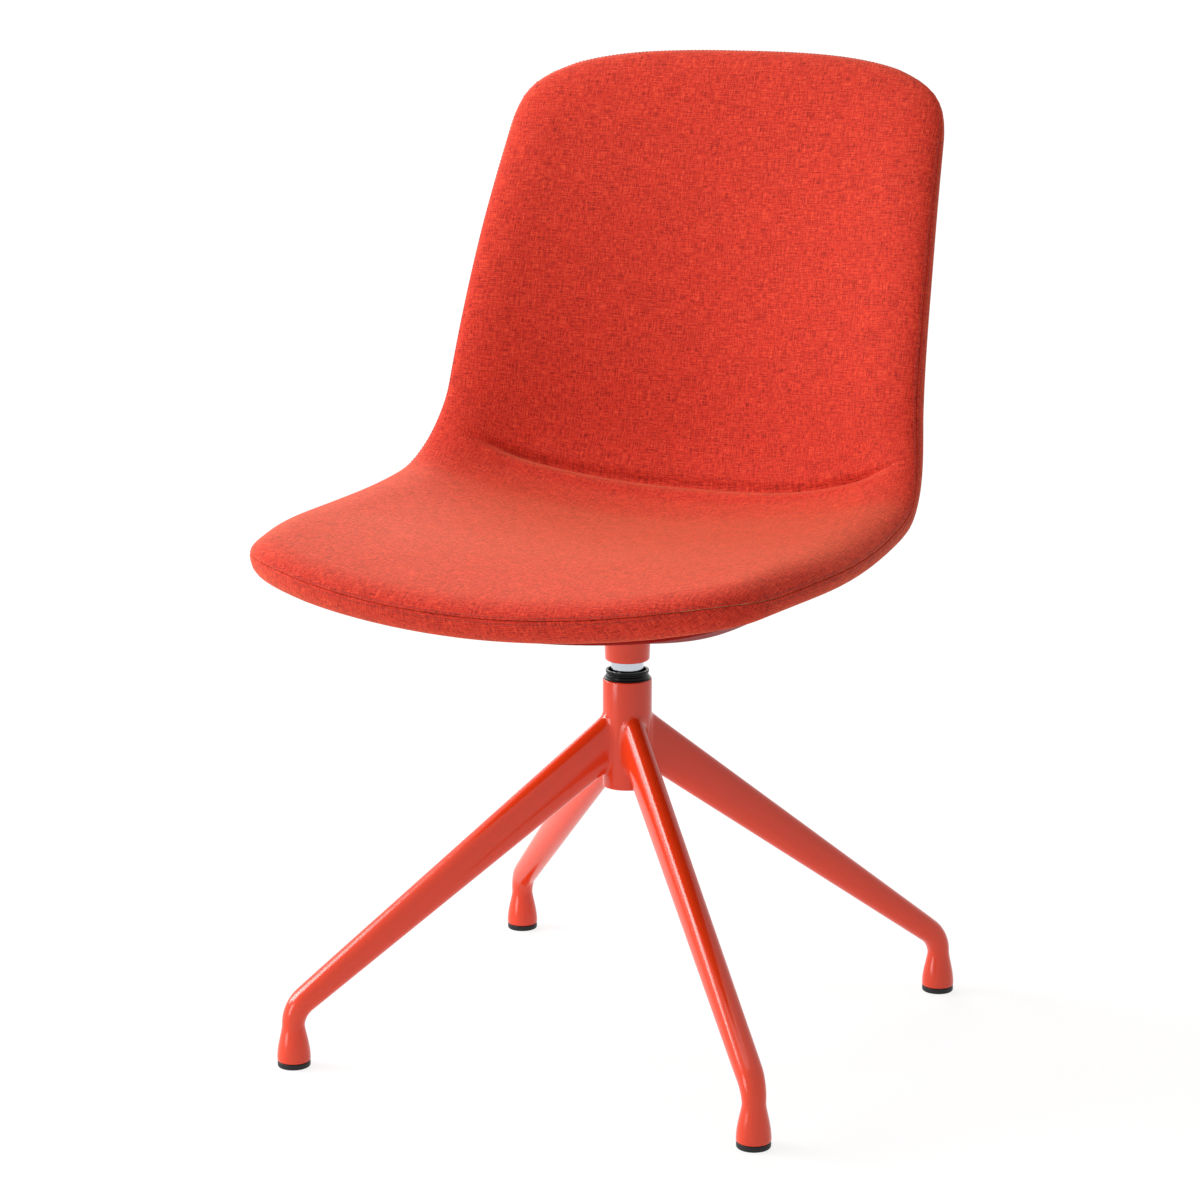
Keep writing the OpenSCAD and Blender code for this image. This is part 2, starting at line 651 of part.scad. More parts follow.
module spindle_collar() {
    h = plate_low - collar_low;
    taper = (collar_top_d - collar_low_d) / 2 / h;
    color("orangered") translate([0, 0, collar_low]) difference() {
        rotate_extrude()
            polygon(concat([[0, 0]],
                [for (a = [0:15:90]) [collar_low_d / 2 - collar_round * (1 - sin(a)),
                                      collar_round * (1 - cos(a))]],
                [[collar_low_d / 2 + taper * h, h], [0, h]]));
        translate([0, 0, -over]) cylinder(d = spindle_d, h = h + 2 * over);
    }
}

// Plate with rounded corners, made of two bars and four discs
module mounting_plate() {
    r = plate_corner_r;
    color("dimgray") translate([0, -plate_forward, plate_low]) difference() {
        union() {
            translate([-plate_w / 2 + r, -plate_l / 2, 0]) cube([plate_w - 2 * r, plate_l, plate_t]);
            translate([-plate_w / 2, -plate_l / 2 + r, 0]) cube([plate_w, plate_l - 2 * r, plate_t]);
            for (x = [-1, 1]) for (y = [-1, 1])
                translate([x * (plate_w / 2 - r), y * (plate_l / 2 - r), 0]) cylinder(r = r, h = plate_t);
        }
        for (x = [-1, 1]) for (y = [-1, 1])
            translate([x * bolt_span_x / 2, y * bolt_span_y / 2, -over])
                cylinder(r = bolt_d / 2 + hole_gap, h = plate_t + 2 * over);
    }
}

module plate_bolts() {
    head_top = plate_low - spring_washer_t;
    color("dimgray") for (p = BOLTS) translate([p[0], p[1], head_top]) {
        cylinder(d = bolt_d, h = bolt_l);
        translate([0, 0, -bolt_head_h]) cylinder(d = bolt_head_d, h = bolt_head_h);
    }
}

module spring_washers() {
    color("silver") for (p = BOLTS) translate([p[0], p[1], plate_low - spring_washer_t]) difference() {
        cylinder(d = bolt_head_d, h = spring_washer_t);
        translate([0, 0, -over]) cylinder(d = bolt_d, h = spring_washer_t + 2 * over);
    }
}

module threaded_inserts() {
    color("goldenrod") for (p = BOLTS) translate([p[0], p[1], plate_top]) difference() {
        cylinder(d = insert_d, h = insert_l);
        translate([0, 0, -over]) cylinder(d = bolt_d, h = insert_l + 2 * over);
    }
}

module seat_shell() {
    color("firebrick") difference() {
        union() {
            layer([shell_top, 0], [[shell_inset - shell_crown, shell_top + shell_t / 2, 0]], [shell_low, 0]);
            for (p = BOLTS) translate([p[0], p[1], plate_top])
                cylinder(d = bolt_boss_d, h = boss_top(p[0], p[1]) - plate_top);
            for (p = SCREWS) translate([p[0], p[1], plate_top])
                cylinder(d = post_d, h = boss_top(p[0], p[1]) - plate_top);
        }
        for (p = BOLTS) translate([p[0], p[1], plate_top - over])
            cylinder(d = insert_d, h = over + insert_l);
        for (p = SCREWS) translate([p[0], p[1], plate_top - over])
            cylinder(d = screw_d, h = over + tray_low + screw_head_h + screw_l + end_room - plate_top);
    }
}

module foam_pad() {
    wall_inset = shell_inset - soft_gap;
    lip = lower_edge(back_cover_t + soft_gap);
    color("wheat") layer([foam_top, 1],
        concat(with_relief(upper_edge(foam_top), 1),
               with_relief(lip, 0),
               [[wall_inset, back_in - soft_gap, 0], [wall_inset, foam_low, 0]]),
        [foam_low, 0]);
}

module front_cover() {
    color("tomato") layer([0, 1],
        with_relief(concat(upper_edge(0), reversed(upper_edge(cover_t))), 1),
        [cover_t, 1]);
}

// The back cover is open under the mounting plate
module back_cover() {
    window_w = screw_span_x + post_d + 2 * window_margin;
    window_l = plate_l + 2 * window_margin;
    color("tomato") difference() {
        layer([back_in, 0],
            with_relief(concat(reversed(lower_edge(back_cover_t, soft_gap)), lower_edge(0, soft_gap)), 0),
            [back_out, 0]);
        translate([-window_w / 2, -plate_forward - window_l / 2, tray_low])
            cube([window_w, window_l, boss_h + plate_t + shell_low]);
    }
}

// Under-seat cover: a tray whose floor is level in the middle and whose edge follows the seat
tray_steps = 48;
// Gap between its rim and the back cover
tray_gap = 0.8;
tray_mid = (tray_front + tray_rear) / 2;
tray_half_l = (tray_rear - tray_front) / 2;
// Share by which its wall leans out, and share of its outline within which the floor is level
tray_flare = 0.045;
tray_level = 0.76;
FLOOR = [0.38, tray_level, 0.82, 0.88, 0.94, 1];
function tray_point(f, k, at_rim, lift) =
    let (a = 360 * k / tray_steps, e = 2 / tray_power,
         x = f * tray_half_w * sign(cos(a)) * pow(abs(cos(a)), e),
         s = tray_mid + f * tray_half_l * sign(sin(a)) * pow(abs(sin(a)), e),
         p = under(x, s, at_rim ? back_out + tray_gap : tray_edge_d),
         t = at_rim ? 1 : ease(tray_level, 1, f))
    [p[0], p[1], (1 - t) * tray_low + t * p[2] + lift];

module tray_body() {
    thin = tray_wall / tray_half_w;
    rings = concat([for (f = FLOOR) [f, false, 0]],
                   [[1 + tray_flare, true, 0], [1 + tray_flare - thin, true, 0]],
                   [for (f = reversed(FLOOR)) [f == 1 ? 1 - thin : f, false, tray_wall]]);
    n = tray_steps;
    m = len(rings);
    centre = under(0, tray_mid, tray_edge_d);
    points = concat([for (r = rings) for (k = [0:n - 1]) tray_point(r[0], k, r[1], r[2])],
                    [[0, centre[1], tray_low], [0, centre[1], tray_low + tray_wall]]);
    sides = [for (j = [0:m - 2]) for (k = [0:n - 1])
        let (q = (k + 1) % n, a = j * n + k, b = j * n + q) each [[b + n, b, a], [a + n, b + n, a]]];
    low_fan = [for (k = [0:n - 1]) [m * n, k, (k + 1) % n]];
    top_fan = [for (k = [0:n - 1]) [m * n + 1, (m - 1) * n + (k + 1) % n, (m - 1) * n + k]];
    polyhedron(points = points, faces = concat(sides, low_fan, top_fan));
}

module underseat_cover() {
    color("darkred") difference() {
        union() {
            tray_body();
            for (p = SCREWS) translate([p[0], p[1], tray_low + tray_wall / 2])
                cylinder(d = post_d, h = plate_top - tray_low - tray_wall / 2);
        }
        translate([0, 0, tray_low - over])
            cylinder(d = collar_top_d + 2 * collar_gap, h = tray_wall + 2 * over);
        for (p = SCREWS) translate([p[0], p[1], tray_low - over]) {
            cylinder(d = screw_d, h = plate_top - tray_low + 2 * over);
            cylinder(d = screw_head_d + 2 * hole_gap, h = over + screw_head_h);
        }
    }
}

module cover_screws() {
    color("black") for (p = SCREWS) translate([p[0], p[1], tray_low]) {
        cylinder(d = screw_head_d, h = screw_head_h);
        cylinder(d = screw_d, h = screw_head_h + screw_l);
    }
}

column_tube();
leg_front_left();
leg_front_right();
leg_rear_left();
leg_rear_right();
glide_front_left();
glide_front_right();
glide_rear_left();
glide_rear_right();
column_plug();
bearing_plate();
thrust_washer();
lower_bush();
upper_bush();
spindle();
retaining_washer();
retaining_bolt();
spindle_collar();
mounting_plate();
plate_bolts();
spring_washers();
threaded_inserts();
seat_shell();
foam_pad();
front_cover();
back_cover();
underseat_cover();
cover_screws();
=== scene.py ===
"""Looks of the swivel chair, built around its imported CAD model.

A padded shell in melange fabric turns on a painted steel column with four oval legs. Sizes are in
millimetres while a piece is shaped, and in metres once its mesh is written.
"""

import logging
import math
from dataclasses import dataclass
from enum import Enum
from functools import cached_property, partial
from typing import Callable, Iterable, Optional, Sequence

import bmesh
import bpy
from mathutils import Matrix, Vector, kdtree, noise
from mathutils.bvhtree import BVHTree


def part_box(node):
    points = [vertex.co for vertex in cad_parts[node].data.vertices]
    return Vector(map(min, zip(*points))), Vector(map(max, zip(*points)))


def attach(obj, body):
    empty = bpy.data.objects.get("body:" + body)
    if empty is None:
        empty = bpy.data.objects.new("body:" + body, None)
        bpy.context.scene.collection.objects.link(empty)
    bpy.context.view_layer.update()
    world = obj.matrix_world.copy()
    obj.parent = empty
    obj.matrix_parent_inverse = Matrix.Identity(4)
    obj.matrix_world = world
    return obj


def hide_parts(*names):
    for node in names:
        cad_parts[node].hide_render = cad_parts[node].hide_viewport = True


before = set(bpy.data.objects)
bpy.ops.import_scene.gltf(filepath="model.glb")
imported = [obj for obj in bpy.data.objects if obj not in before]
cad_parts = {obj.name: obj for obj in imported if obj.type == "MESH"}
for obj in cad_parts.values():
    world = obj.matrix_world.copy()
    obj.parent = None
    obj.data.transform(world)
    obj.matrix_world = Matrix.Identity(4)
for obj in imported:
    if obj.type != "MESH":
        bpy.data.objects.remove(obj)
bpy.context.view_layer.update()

MM = 0.001
LOG = logging.getLogger("swivel_chair")

# Points nearer to each other than this are merged
MERGE = 1e-4
# Points nearer to a cutting plane than this count as on it
ON_PLANE = 0.01
# Radius at which a closed outline that is spun ends, next to the axis
AXIS_R = 0.01
# Usual range of a noise texture, as a Map Range node takes it in
NOISE_RANGE = {"From Min": 0.3, "From Max": 0.7}
# Spacing of a wave texture's bands at a scale of 1
WAVE_BAND = math.tau / 20.0
WHITE = "#FFFFFF"

Point = tuple[float, float]
Place = tuple[float, float, float]
# A ring round the upholstery: its inset from the outline and its depth, at a length s of the cut
Ring = Callable[[float], Point]


class Body(Enum):
    """Bodies of the frame."""

    BASE = "base"
    SEAT = "seat"


class Slot(Enum):
    """Material slots of the record. No piece in this script is given one."""

    PAINT = "painted_steel"
    GLIDE = "glide_plastic"
    BLACK = "black_plastic"
    CHROME = "spindle_chrome"
    FOAM = "foam"
    FABRIC = "fabric"
    COVER = "cover_plastic"


def smooth_step(low: float, high: float, value: float) -> float:
    """Rises smoothly from 0 at low to 1 at high."""
    t = min(1.0, max(0.0, (value - low) / (high - low)))
    return t * t * (3.0 - 2.0 * t)


def bell(value: float, middle: float, half_width: float) -> float:
    """Height, from 0 to 1, of a soft bump at a distance from its middle."""
    return math.exp(-((value - middle) / half_width) ** 2)


def signed_power(value: float, power: float) -> float:
    """Raises the size of a value to a power and keeps its sign."""
    return math.copysign(abs(value) ** power, value)


# Meshes

def extrude_ring(bm: bmesh.types.BMesh, ring: Sequence[bmesh.types.BMVert],
                 places: Iterable[Vector]) -> list[bmesh.types.BMVert]:
    """Extrudes a closed ring of vertices once.

    Args:
        bm: Mesh that holds the ring.
        ring: Vertices of the ring, in order.
        places: Where the new vertices go, in the same order.

    Returns:
        The new ring, in the same order.
    """
    edges = [bm.edges.get((a, b)) for a, b in zip(ring, [*ring[1:], ring[0]])]
    made = bmesh.ops.extrude_edge_only(bm, edges=edges)["geom"]
    fresh = {v for v in made if isinstance(v, bmesh.types.BMVert)}
    new_ring = []
    for old, place in zip(ring, places):
        new = next(e.other_vert(old) for e in old.link_edges if e.other_vert(old) in fresh)
        new.co = place
        new_ring.append(new)
    return new_ring


def loft(rings: Sequence[Sequence[Vector]], cap_end: bool = False) -> bmesh.types.BMesh:
    """Joins rings of points, one after another, into a skin.

    Args:
        rings: Rings with as many points each, in order.
        cap_end: Whether the last ring is closed by a face.

    Returns:
        The skin, with its faces pointing outwards if it is closed.
    """
    bm = bmesh.new()
    ring = bmesh.ops.create_circle(bm, segments=len(rings[0]), radius=1.0)["verts"]
    for vert, place in zip(ring, rings[0]):
        vert.co = place
    for places in rings[1:]:
        ring = extrude_ring(bm, ring, places)
    if cap_end:
        bm.faces.new(ring)
    bmesh.ops.remove_doubles(bm, verts=bm.verts, dist=MERGE)
    bmesh.ops.recalc_face_normals(bm, faces=bm.faces)
    return bm


def rounded(outline: Sequence[Point], radius: float, steps: int = 3) -> list[Point]:
    """Rounds the corners of a closed outline.

    Args:
        outline: Corners as (r, z).
        radius: How far from a corner its rounding begins, where the sides are long enough.
        steps: Points along each rounding, less one.

    Returns:
        The corners of the rounded outline.
    """
    longest_share = 0.4
    made = []
    for before, corner, after in zip([outline[-1], *outline], outline, [*outline[1:], outline[0]]):
        c = Vector(corner)
        sides = [Vector(p) - c for p in (before, after)]
        ends = [c + side.normalized() * min(radius, longest_share * side.length) for side in sides]
        for i in range(steps + 1):
            t = i / steps
            made.append(tuple(ends[0] * (1 - t) ** 2 + c * 2 * t * (1 - t) + ends[1] * t * t))
    return made


def revolve(outline: Sequence[Point], centre: Point = (0.0, 0.0), steps: int = 64) -> bmesh.types.BMesh:
    """Spins a closed outline about an upright axis.

    Args:
        outline: Corners as (r, z), where r 0 is on the axis.
        centre: Place of the axis, as (x, y).
        steps: Sides of the round.

    Returns:
        A closed skin with its faces pointing outwards.
    """
    bm = bmesh.new()
    verts = [bm.verts.new((r, 0.0, z)) for r, z in outline]
    edges = [bm.edges.new(pair) for pair in zip(verts, [*verts[1:], verts[0]])]
    bmesh.ops.spin(bm, geom=[*verts, *edges], cent=(0, 0, 0), axis=(0, 0, 1), angle=math.tau,
                   steps=steps, use_merge=True, use_duplicate=False)
    bmesh.ops.remove_doubles(bm, verts=bm.verts, dist=MERGE)
    bmesh.ops.translate(bm, vec=(*centre, 0.0), verts=bm.verts)
    bmesh.ops.recalc_face_normals(bm, faces=bm.faces)
    return bm


def absorb(whole: bmesh.types.BMesh, part: bmesh.types.BMesh) -> None:
    """Adds a part to a mesh and frees the part.

    Args:
        whole: Mesh that takes the part.
        part: Mesh that is added.
    """
    mesh = bpy.data.meshes.new("part")
    part.to_mesh(mesh)
    part.free()
    whole.from_mesh(mesh)
    bpy.data.meshes.remove(mesh)


def add_object(name: str, data: bpy.types.ID) -> bpy.types.Object:
    """Puts a mesh, lamp or camera in the scene.

    Args:
        name: Name of the object.
        data: What it shows.

    Returns:
        The new object.
    """
    made = bpy.data.objects.new(name, data)
    bpy.context.scene.collection.objects.link(made)
    return made


def add_piece(name: str, bm: bmesh.types.BMesh, body: Body, material: bpy.types.Material,
              replaced: Sequence[str] = (), sharp: float = 40.0, levels: int = 0) -> bpy.types.Object:
    """Writes a mesh as a piece of the chair.

    Args:
        name: Name of the piece.
        bm: Its mesh in millimetres, which is freed.
        body: Body that it rides on.
        material: Its material.
        replaced: Nodes that it stands for.
        sharp: Angle in degrees above which an edge is drawn sharp.
        levels: Levels of subdivision.

    Returns:
        The new object.
    """
    bmesh.ops.scale(bm, vec=(MM, MM, MM), verts=bm.verts)
    mesh = bpy.data.meshes.new(name)
    bm.to_mesh(mesh)
    bm.free()
    mesh.shade_smooth()
    mesh.set_sharp_from_angle(angle=math.radians(sharp))
    mesh.materials.append(material)
    piece = add_object(name, mesh)
    if levels:
        subdivision = piece.modifiers.new("Subdivision", "SUBSURF")
        subdivision.levels = subdivision.render_levels = levels
    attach(piece, body.value)
    if replaced:
        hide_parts(*replaced)
    LOG.info("%s: %d faces on %s", name, len(mesh.polygons), body.value)
    return piece


# Finishes

def linear(code: str) -> tuple[float, float, float, float]:
    """Turns an sRGB hex colour into linear red, green, blue and alpha."""
    parts = [int(code[i:i + 2], 16) / 255.0 for i in (1, 3, 5)]
    return (*[p / 12.92 if p <= 0.04045 else ((p + 0.055) / 1.055) ** 2.4 for p in parts], 1.0)


def add_node(tree: bpy.types.NodeTree, kind: str, values: Optional[dict] = None,
             links: Optional[dict] = None, **settings) -> bpy.types.Node:
    """Adds a shader node.

    Args:
        tree: Tree that takes the node.
        kind: Type of the node.
        values: Values of its sockets, by name or number.
        links: Sockets that feed its own, by name or number.
        **settings: Its settings.

    Returns:
        The new node.
    """
    made = tree.nodes.new(kind)
    for name, value in settings.items():
        setattr(made, name, value)
    for socket, value in (values or {}).items():
        made.inputs[socket].default_value = value
    for socket, source in (links or {}).items():
        tree.links.new(source, made.inputs[socket])
    return made


def bare_tree(owner: bpy.types.ID) -> bpy.types.NodeTree:
    """Switches a material or a world to nodes.

    Args:
        owner: The material or world.

    Returns:
        Its node tree, emptied.
    """
    owner.use_nodes = True
    owner.node_tree.nodes.clear()
    return owner.node_tree


def new_material(name: str) -> tuple[bpy.types.Material, bpy.types.NodeTree, bpy.types.Node]:
    """Makes a material with a bare surface shader.

    Args:
        name: Name of the material.

    Returns:
        The material, its node tree and its surface shader.
    """
    material = bpy.data.materials.new(name)
    tree = bare_tree(material)
    shader = add_node(tree, "ShaderNodeBsdfPrincipled")
    add_node(tree, "ShaderNodeOutputMaterial", links={"Surface": shader.outputs[0]})
    return material, tree, shader


@dataclass(frozen=True)
class Finish:
    """A hard or foamed surface with a fine grain and slow clouds in its colour and gloss.

    Lengths are in millimetres. The grain is stretched along each axis by grain_stretch.
    """

    name: str
    colour: str
    roughness: float
    metallic: float = 0.0
    ior: float = 1.5
    grain: float = 0.6
    grain_stretch: Place = (1.0, 1.0, 1.0)
    grain_height: float = 0.01
    cloud: float = 30.0
    cloud_colour: float = 0.03
    cloud_roughness: float = 0.04

    def build(self) -> bpy.types.Material:
        """Makes the material.

        Returns:
            The material.
        """
        material, tree, shader = new_material(self.name)
        shader.inputs["Metallic"].default_value = self.metallic
        if not self.metallic:
            shader.inputs["IOR"].default_value = self.ior
        place = add_node(tree, "ShaderNodeTexCoord").outputs["Object"]
        cells = tuple(1.0 / (MM * self.grain * s) for s in self.grain_stretch)
        grain_place = add_node(tree, "ShaderNodeMapping", {"Scale": cells}, {"Vector": place})
        grain = add_node(tree, "ShaderNodeTexNoise", {"Scale": 1.0, "Detail": 3.0},
                         {"Vector": grain_place.outputs[0]})
        cloud = add_node(tree, "ShaderNodeTexNoise", {"Scale": 1.0 / (MM * self.cloud), "Detail": 2.0},
                         {"Vector": place})
        shade, gloss = (
            add_node(tree, "ShaderNodeMapRange",
                     {**NOISE_RANGE, "To Min": middle - swing, "To Max": middle + swing},
                     {"Value": cloud.outputs[0]})
            for middle, swing in ((1.0, self.cloud_colour), (self.roughness, self.cloud_roughness)))
        colour = add_node(tree, "ShaderNodeVectorMath", {0: linear(self.colour)[:3]},
                          {"Scale": shade.outputs[0]}, operation="SCALE")
        bump = add_node(tree, "ShaderNodeBump", {"Strength": 1.0, "Distance": MM * self.grain_height},
                        {"Height": grain.outputs[0]})
        for socket, source in {"Base Color": colour, "Roughness": gloss, "Normal": bump}.items():
            tree.links.new(source.outputs[0], shader.inputs[socket])
        return material


@dataclass(frozen=True)
class MelangeFabric:
    """Wool-blend plain weave from yarns of three close reds, which gives streaks along both threads.

    It reads the cover's own cut, in metres, so that the threads follow the seat and the back. Lengths
    are in millimetres. Threads, streaks and slubs are drawn about twice as coarse as the real ones, so
    that they show.
    """

    name: str = "melange_wool_weave"
    dark: str = "#87140C"
    middle: str = "#C42B1A"
    light: str = "#DA472D"
    # Spacing of the threads
    thread: float = 1.3
    # Width and length of a streak of one dye along a thread, and of a slub, a long thick place in it
    streak: Point = (0.6, 4.6)
    slub: Point = (0.85, 15.0)
    slub_share: float = 0.45
    # Sum of both threads' streaks at which the yarn is dark and at which it is light
    dye_range: Point = (0.79, 1.21)
    # Shares of that range between which the yarn has the middle colour
    middle_range: Point = (0.45, 0.6)
    # Soft wear in the colour, and height of the weave
    cloud: float = 28.0
    cloud_colour: float = 0.035
    relief: float = 0.14

    def streaks(self, tree: bpy.types.NodeTree, cut: bpy.types.NodeSocket,
                crosswise: bool) -> bpy.types.NodeSocket:
        """Adds the streaks of one set of threads.

        Args:
            tree: Tree that takes the nodes.
            cut: Place on the cut, in millimetres.
            crosswise: Whether the threads run across the cut.

        Returns:
            Their strength.
        """
        strengths = []
        for width, length in (self.streak, self.slub):
            size = (length, width, 1.0) if crosswise else (width, length, 1.0)
            place = add_node(tree, "ShaderNodeMapping", {"Scale": tuple(1.0 / s for s in size)},
                             {"Vector": cut})
            strengths.append(add_node(tree, "ShaderNodeTexNoise", {"Scale": 1.0, "Detail": 0.5},
                                      {"Vector": place.outputs[0]}).outputs[0])
        return add_node(tree, "ShaderNodeMix", {"Factor": self.slub_share},
                        {2: strengths[0], 3: strengths[1]}).outputs[0]

    def threads(self, tree: bpy.types.NodeTree, cut: bpy.types.NodeSocket,
                direction: str) -> bpy.types.NodeSocket:
        """Adds the rounded backs of one set of threads.

        Args:
            tree: Tree that takes the nodes.
            cut: Place on the cut, in millimetres.
            direction: Axis across the threads, X or Y.

        Returns:
            Their height.
        """
        return add_node(tree, "ShaderNodeTexWave",
                        {"Scale": WAVE_BAND / self.thread, "Distortion": 0.4, "Detail": 1.0,
                         "Detail Scale": 0.4},
                        {"Vector": cut}, bands_direction=direction).outputs["Fac"]

    def dye(self, tree: bpy.types.NodeTree, share: bpy.types.NodeSocket) -> bpy.types.NodeSocket:
        """Adds the colour of the yarns.

        Args:
            tree: Tree that takes the nodes.
            share: How light the yarn is, from 0 to 1.

        Returns:
            The colour.
        """
        ramp = add_node(tree, "ShaderNodeValToRGB", links={"Fac": share})
        ramp.color_ramp.elements[0].color = linear(self.dark)
        ramp.color_ramp.elements[1].color = linear(self.light)
        for place in self.middle_range:
            ramp.color_ramp.elements.new(place).color = linear(self.middle)
        return ramp.outputs[0]

    def build(self) -> bpy.types.Material:
        """Makes the material.

        Returns:
            The material.
        """
        material, tree, shader = new_material(self.name)
        for socket, value in {"Specular IOR Level": 0.25, "Roughness": 0.85, "Sheen Weight": 0.25,
                              "Sheen Roughness": 0.45, "Sheen Tint": linear("#FFC088")}.items():
            shader.inputs[socket].default_value = value
        uv = add_node(tree, "ShaderNodeTexCoord").outputs["UV"]
        cut = add_node(tree, "ShaderNodeVectorMath", {"Scale": 1.0 / MM}, {0: uv},
                       operation="SCALE").outputs[0]
        warp, weft = (self.streaks(tree, cut, crosswise) for crosswise in (False, True))
        both = add_node(tree, "ShaderNodeMath", links={0: warp, 1: weft}, operation="ADD")
        dark, light = self.dye_range
        dyes = add_node(tree, "ShaderNodeMapRange", {"From Min": dark, "From Max": light},
                        {"Value": both.outputs[0]}).outputs[0]
        cloud = add_node(tree, "ShaderNodeTexNoise", {"Scale": 1.0 / self.cloud, "Detail": 2.0},
                         {"Vector": cut})
        shade = add_node(tree, "ShaderNodeMapRange",
                         {**NOISE_RANGE, "To Min": 1.0 - self.cloud_colour,
                          "To Max": 1.0 + self.cloud_colour}, {"Value": cloud.outputs[0]})
        colour = add_node(tree, "ShaderNodeVectorMath",
                          links={0: self.dye(tree, dyes), "Scale": shade.outputs[0]}, operation="SCALE")
        weave = add_node(tree, "ShaderNodeMath",
                         links={0: self.threads(tree, cut, "X"), 1: self.threads(tree, cut, "Y")},
                         operation="MULTIPLY")
        height = add_node(tree, "ShaderNodeMath", links={0: weave.outputs[0], 1: dyes}, operation="ADD")
        bump = add_node(tree, "ShaderNodeBump", {"Strength": 0.6, "Distance": MM * self.relief},
                        {"Height": height.outputs[0]})
        tree.links.new(colour.outputs[0], shader.inputs["Base Color"])
        tree.links.new(bump.outputs[0], shader.inputs["Normal"])
        return material


class Finishes:
    """The materials of the chair, made once each."""

    def __init__(self) -> None:
        """Makes every material."""
        # Mild steel, powder coated: even and glossy, with a faint orange peel
        self.paint = Finish("powder_coated_steel", "#DB3913", 0.17, grain=1.6, grain_height=0.001,
                            cloud=45.0, cloud_colour=0.02, cloud_roughness=0.02).build()
        # Polypropylene, moulded in a spark-eroded tool: a fine-grained black with a soft, weak gloss
        self.black = Finish("moulded_black_polypropylene", "#0A0A0C", 0.25, ior=1.25, grain=0.5,
                            grain_height=0.02).build()
        # Polyamide, moulded and scuffed by the floor: a dull black
        self.glide = Finish("moulded_polyamide", "#141416", 0.5, ior=1.4, grain=0.4, grain_height=0.03,
                            cloud=6.0, cloud_colour=0.2, cloud_roughness=0.1).build()
        # Acetal, turned: ivory, waxy and smooth
        self.bearing = Finish("turned_acetal", "#E4E0D2", 0.35, grain=0.3,
                              grain_stretch=(40.0, 40.0, 1.0), grain_height=0.01).build()
        # Steel bar, ground and chrome plated: a mirror with fine rings round it
        self.chrome = Finish("chrome_plated_steel", "#C3C8D0", 0.12, metallic=1.0, grain=0.12,
                             grain_stretch=(60.0, 60.0, 1.0), grain_height=0.002,
                             cloud_roughness=0.03).build()
        # Steel, zinc plated: a grey metal with soft clouds
        self.zinc = Finish("zinc_plated_steel", "#A7ABB0", 0.34, metallic=1.0, grain=0.4,
                           grain_height=0.008, cloud=8.0, cloud_colour=0.1,
                           cloud_roughness=0.08).build()
        # Brass bar, turned: warm yellow with rings
        self.brass = Finish("turned_brass", "#C9A14A", 0.25, metallic=1.0, grain=0.2,
                            grain_stretch=(40.0, 40.0, 1.0), grain_height=0.006).build()
        # Polypropylene, moulded: the dark red shell under the foam
        self.shell = Finish("moulded_red_polypropylene", "#5E1512", 0.45, grain=0.5,
                            grain_height=0.03).build()
        # Polyurethane foam, cut from a block: open cells, cream
        self.foam = Finish("cut_polyurethane_foam", "#E6D9AE", 0.95, grain=1.2, grain_height=0.5,
                           cloud=25.0, cloud_colour=0.06).build()
        # Polypropylene, moulded in a polished tool: a smooth, deep dark red
        self.cover = Finish("polished_red_polypropylene", "#86140E", 0.3, ior=1.03, grain=4.0,
                            grain_height=0.01, cloud_colour=0.02, cloud_roughness=0.02).build()
        self.fabric = MelangeFabric().build()
        # Polyester sewing thread in the dark yarn's red. Its darkness is partly painted shade, standing in
        # for the shadow in the needle holes beside each stitch
        self.thread = Finish("polyester_thread_with_painted_shade", "#8E2014", 0.6, grain=0.25, grain_height=0.05).build()


# Shape of the seat

@dataclass(frozen=True)
class Corner:
    """A pair of rounded corners: the length over which they round off and their squareness."""

    length: float
    power: float

    def fall(self, turn: float) -> float:
        """How far the outline has drawn back from its end at an angle in degrees."""
        return self.length * (1.0 - math.sin(math.radians(turn)) ** (2.0 / self.power))

    def spread(self, turn: float) -> float:
        """Share of the half width at an angle in degrees."""
        return max(0.0, math.cos(math.radians(turn))) ** (2.0 / self.power)

    def share(self, distance: float) -> float:
        """Share of the half width at a distance from the outline's end."""
        left = max(0.0, 1.0 - distance / self.length)
        return (1.0 - left ** self.power) ** (1.0 / self.power)


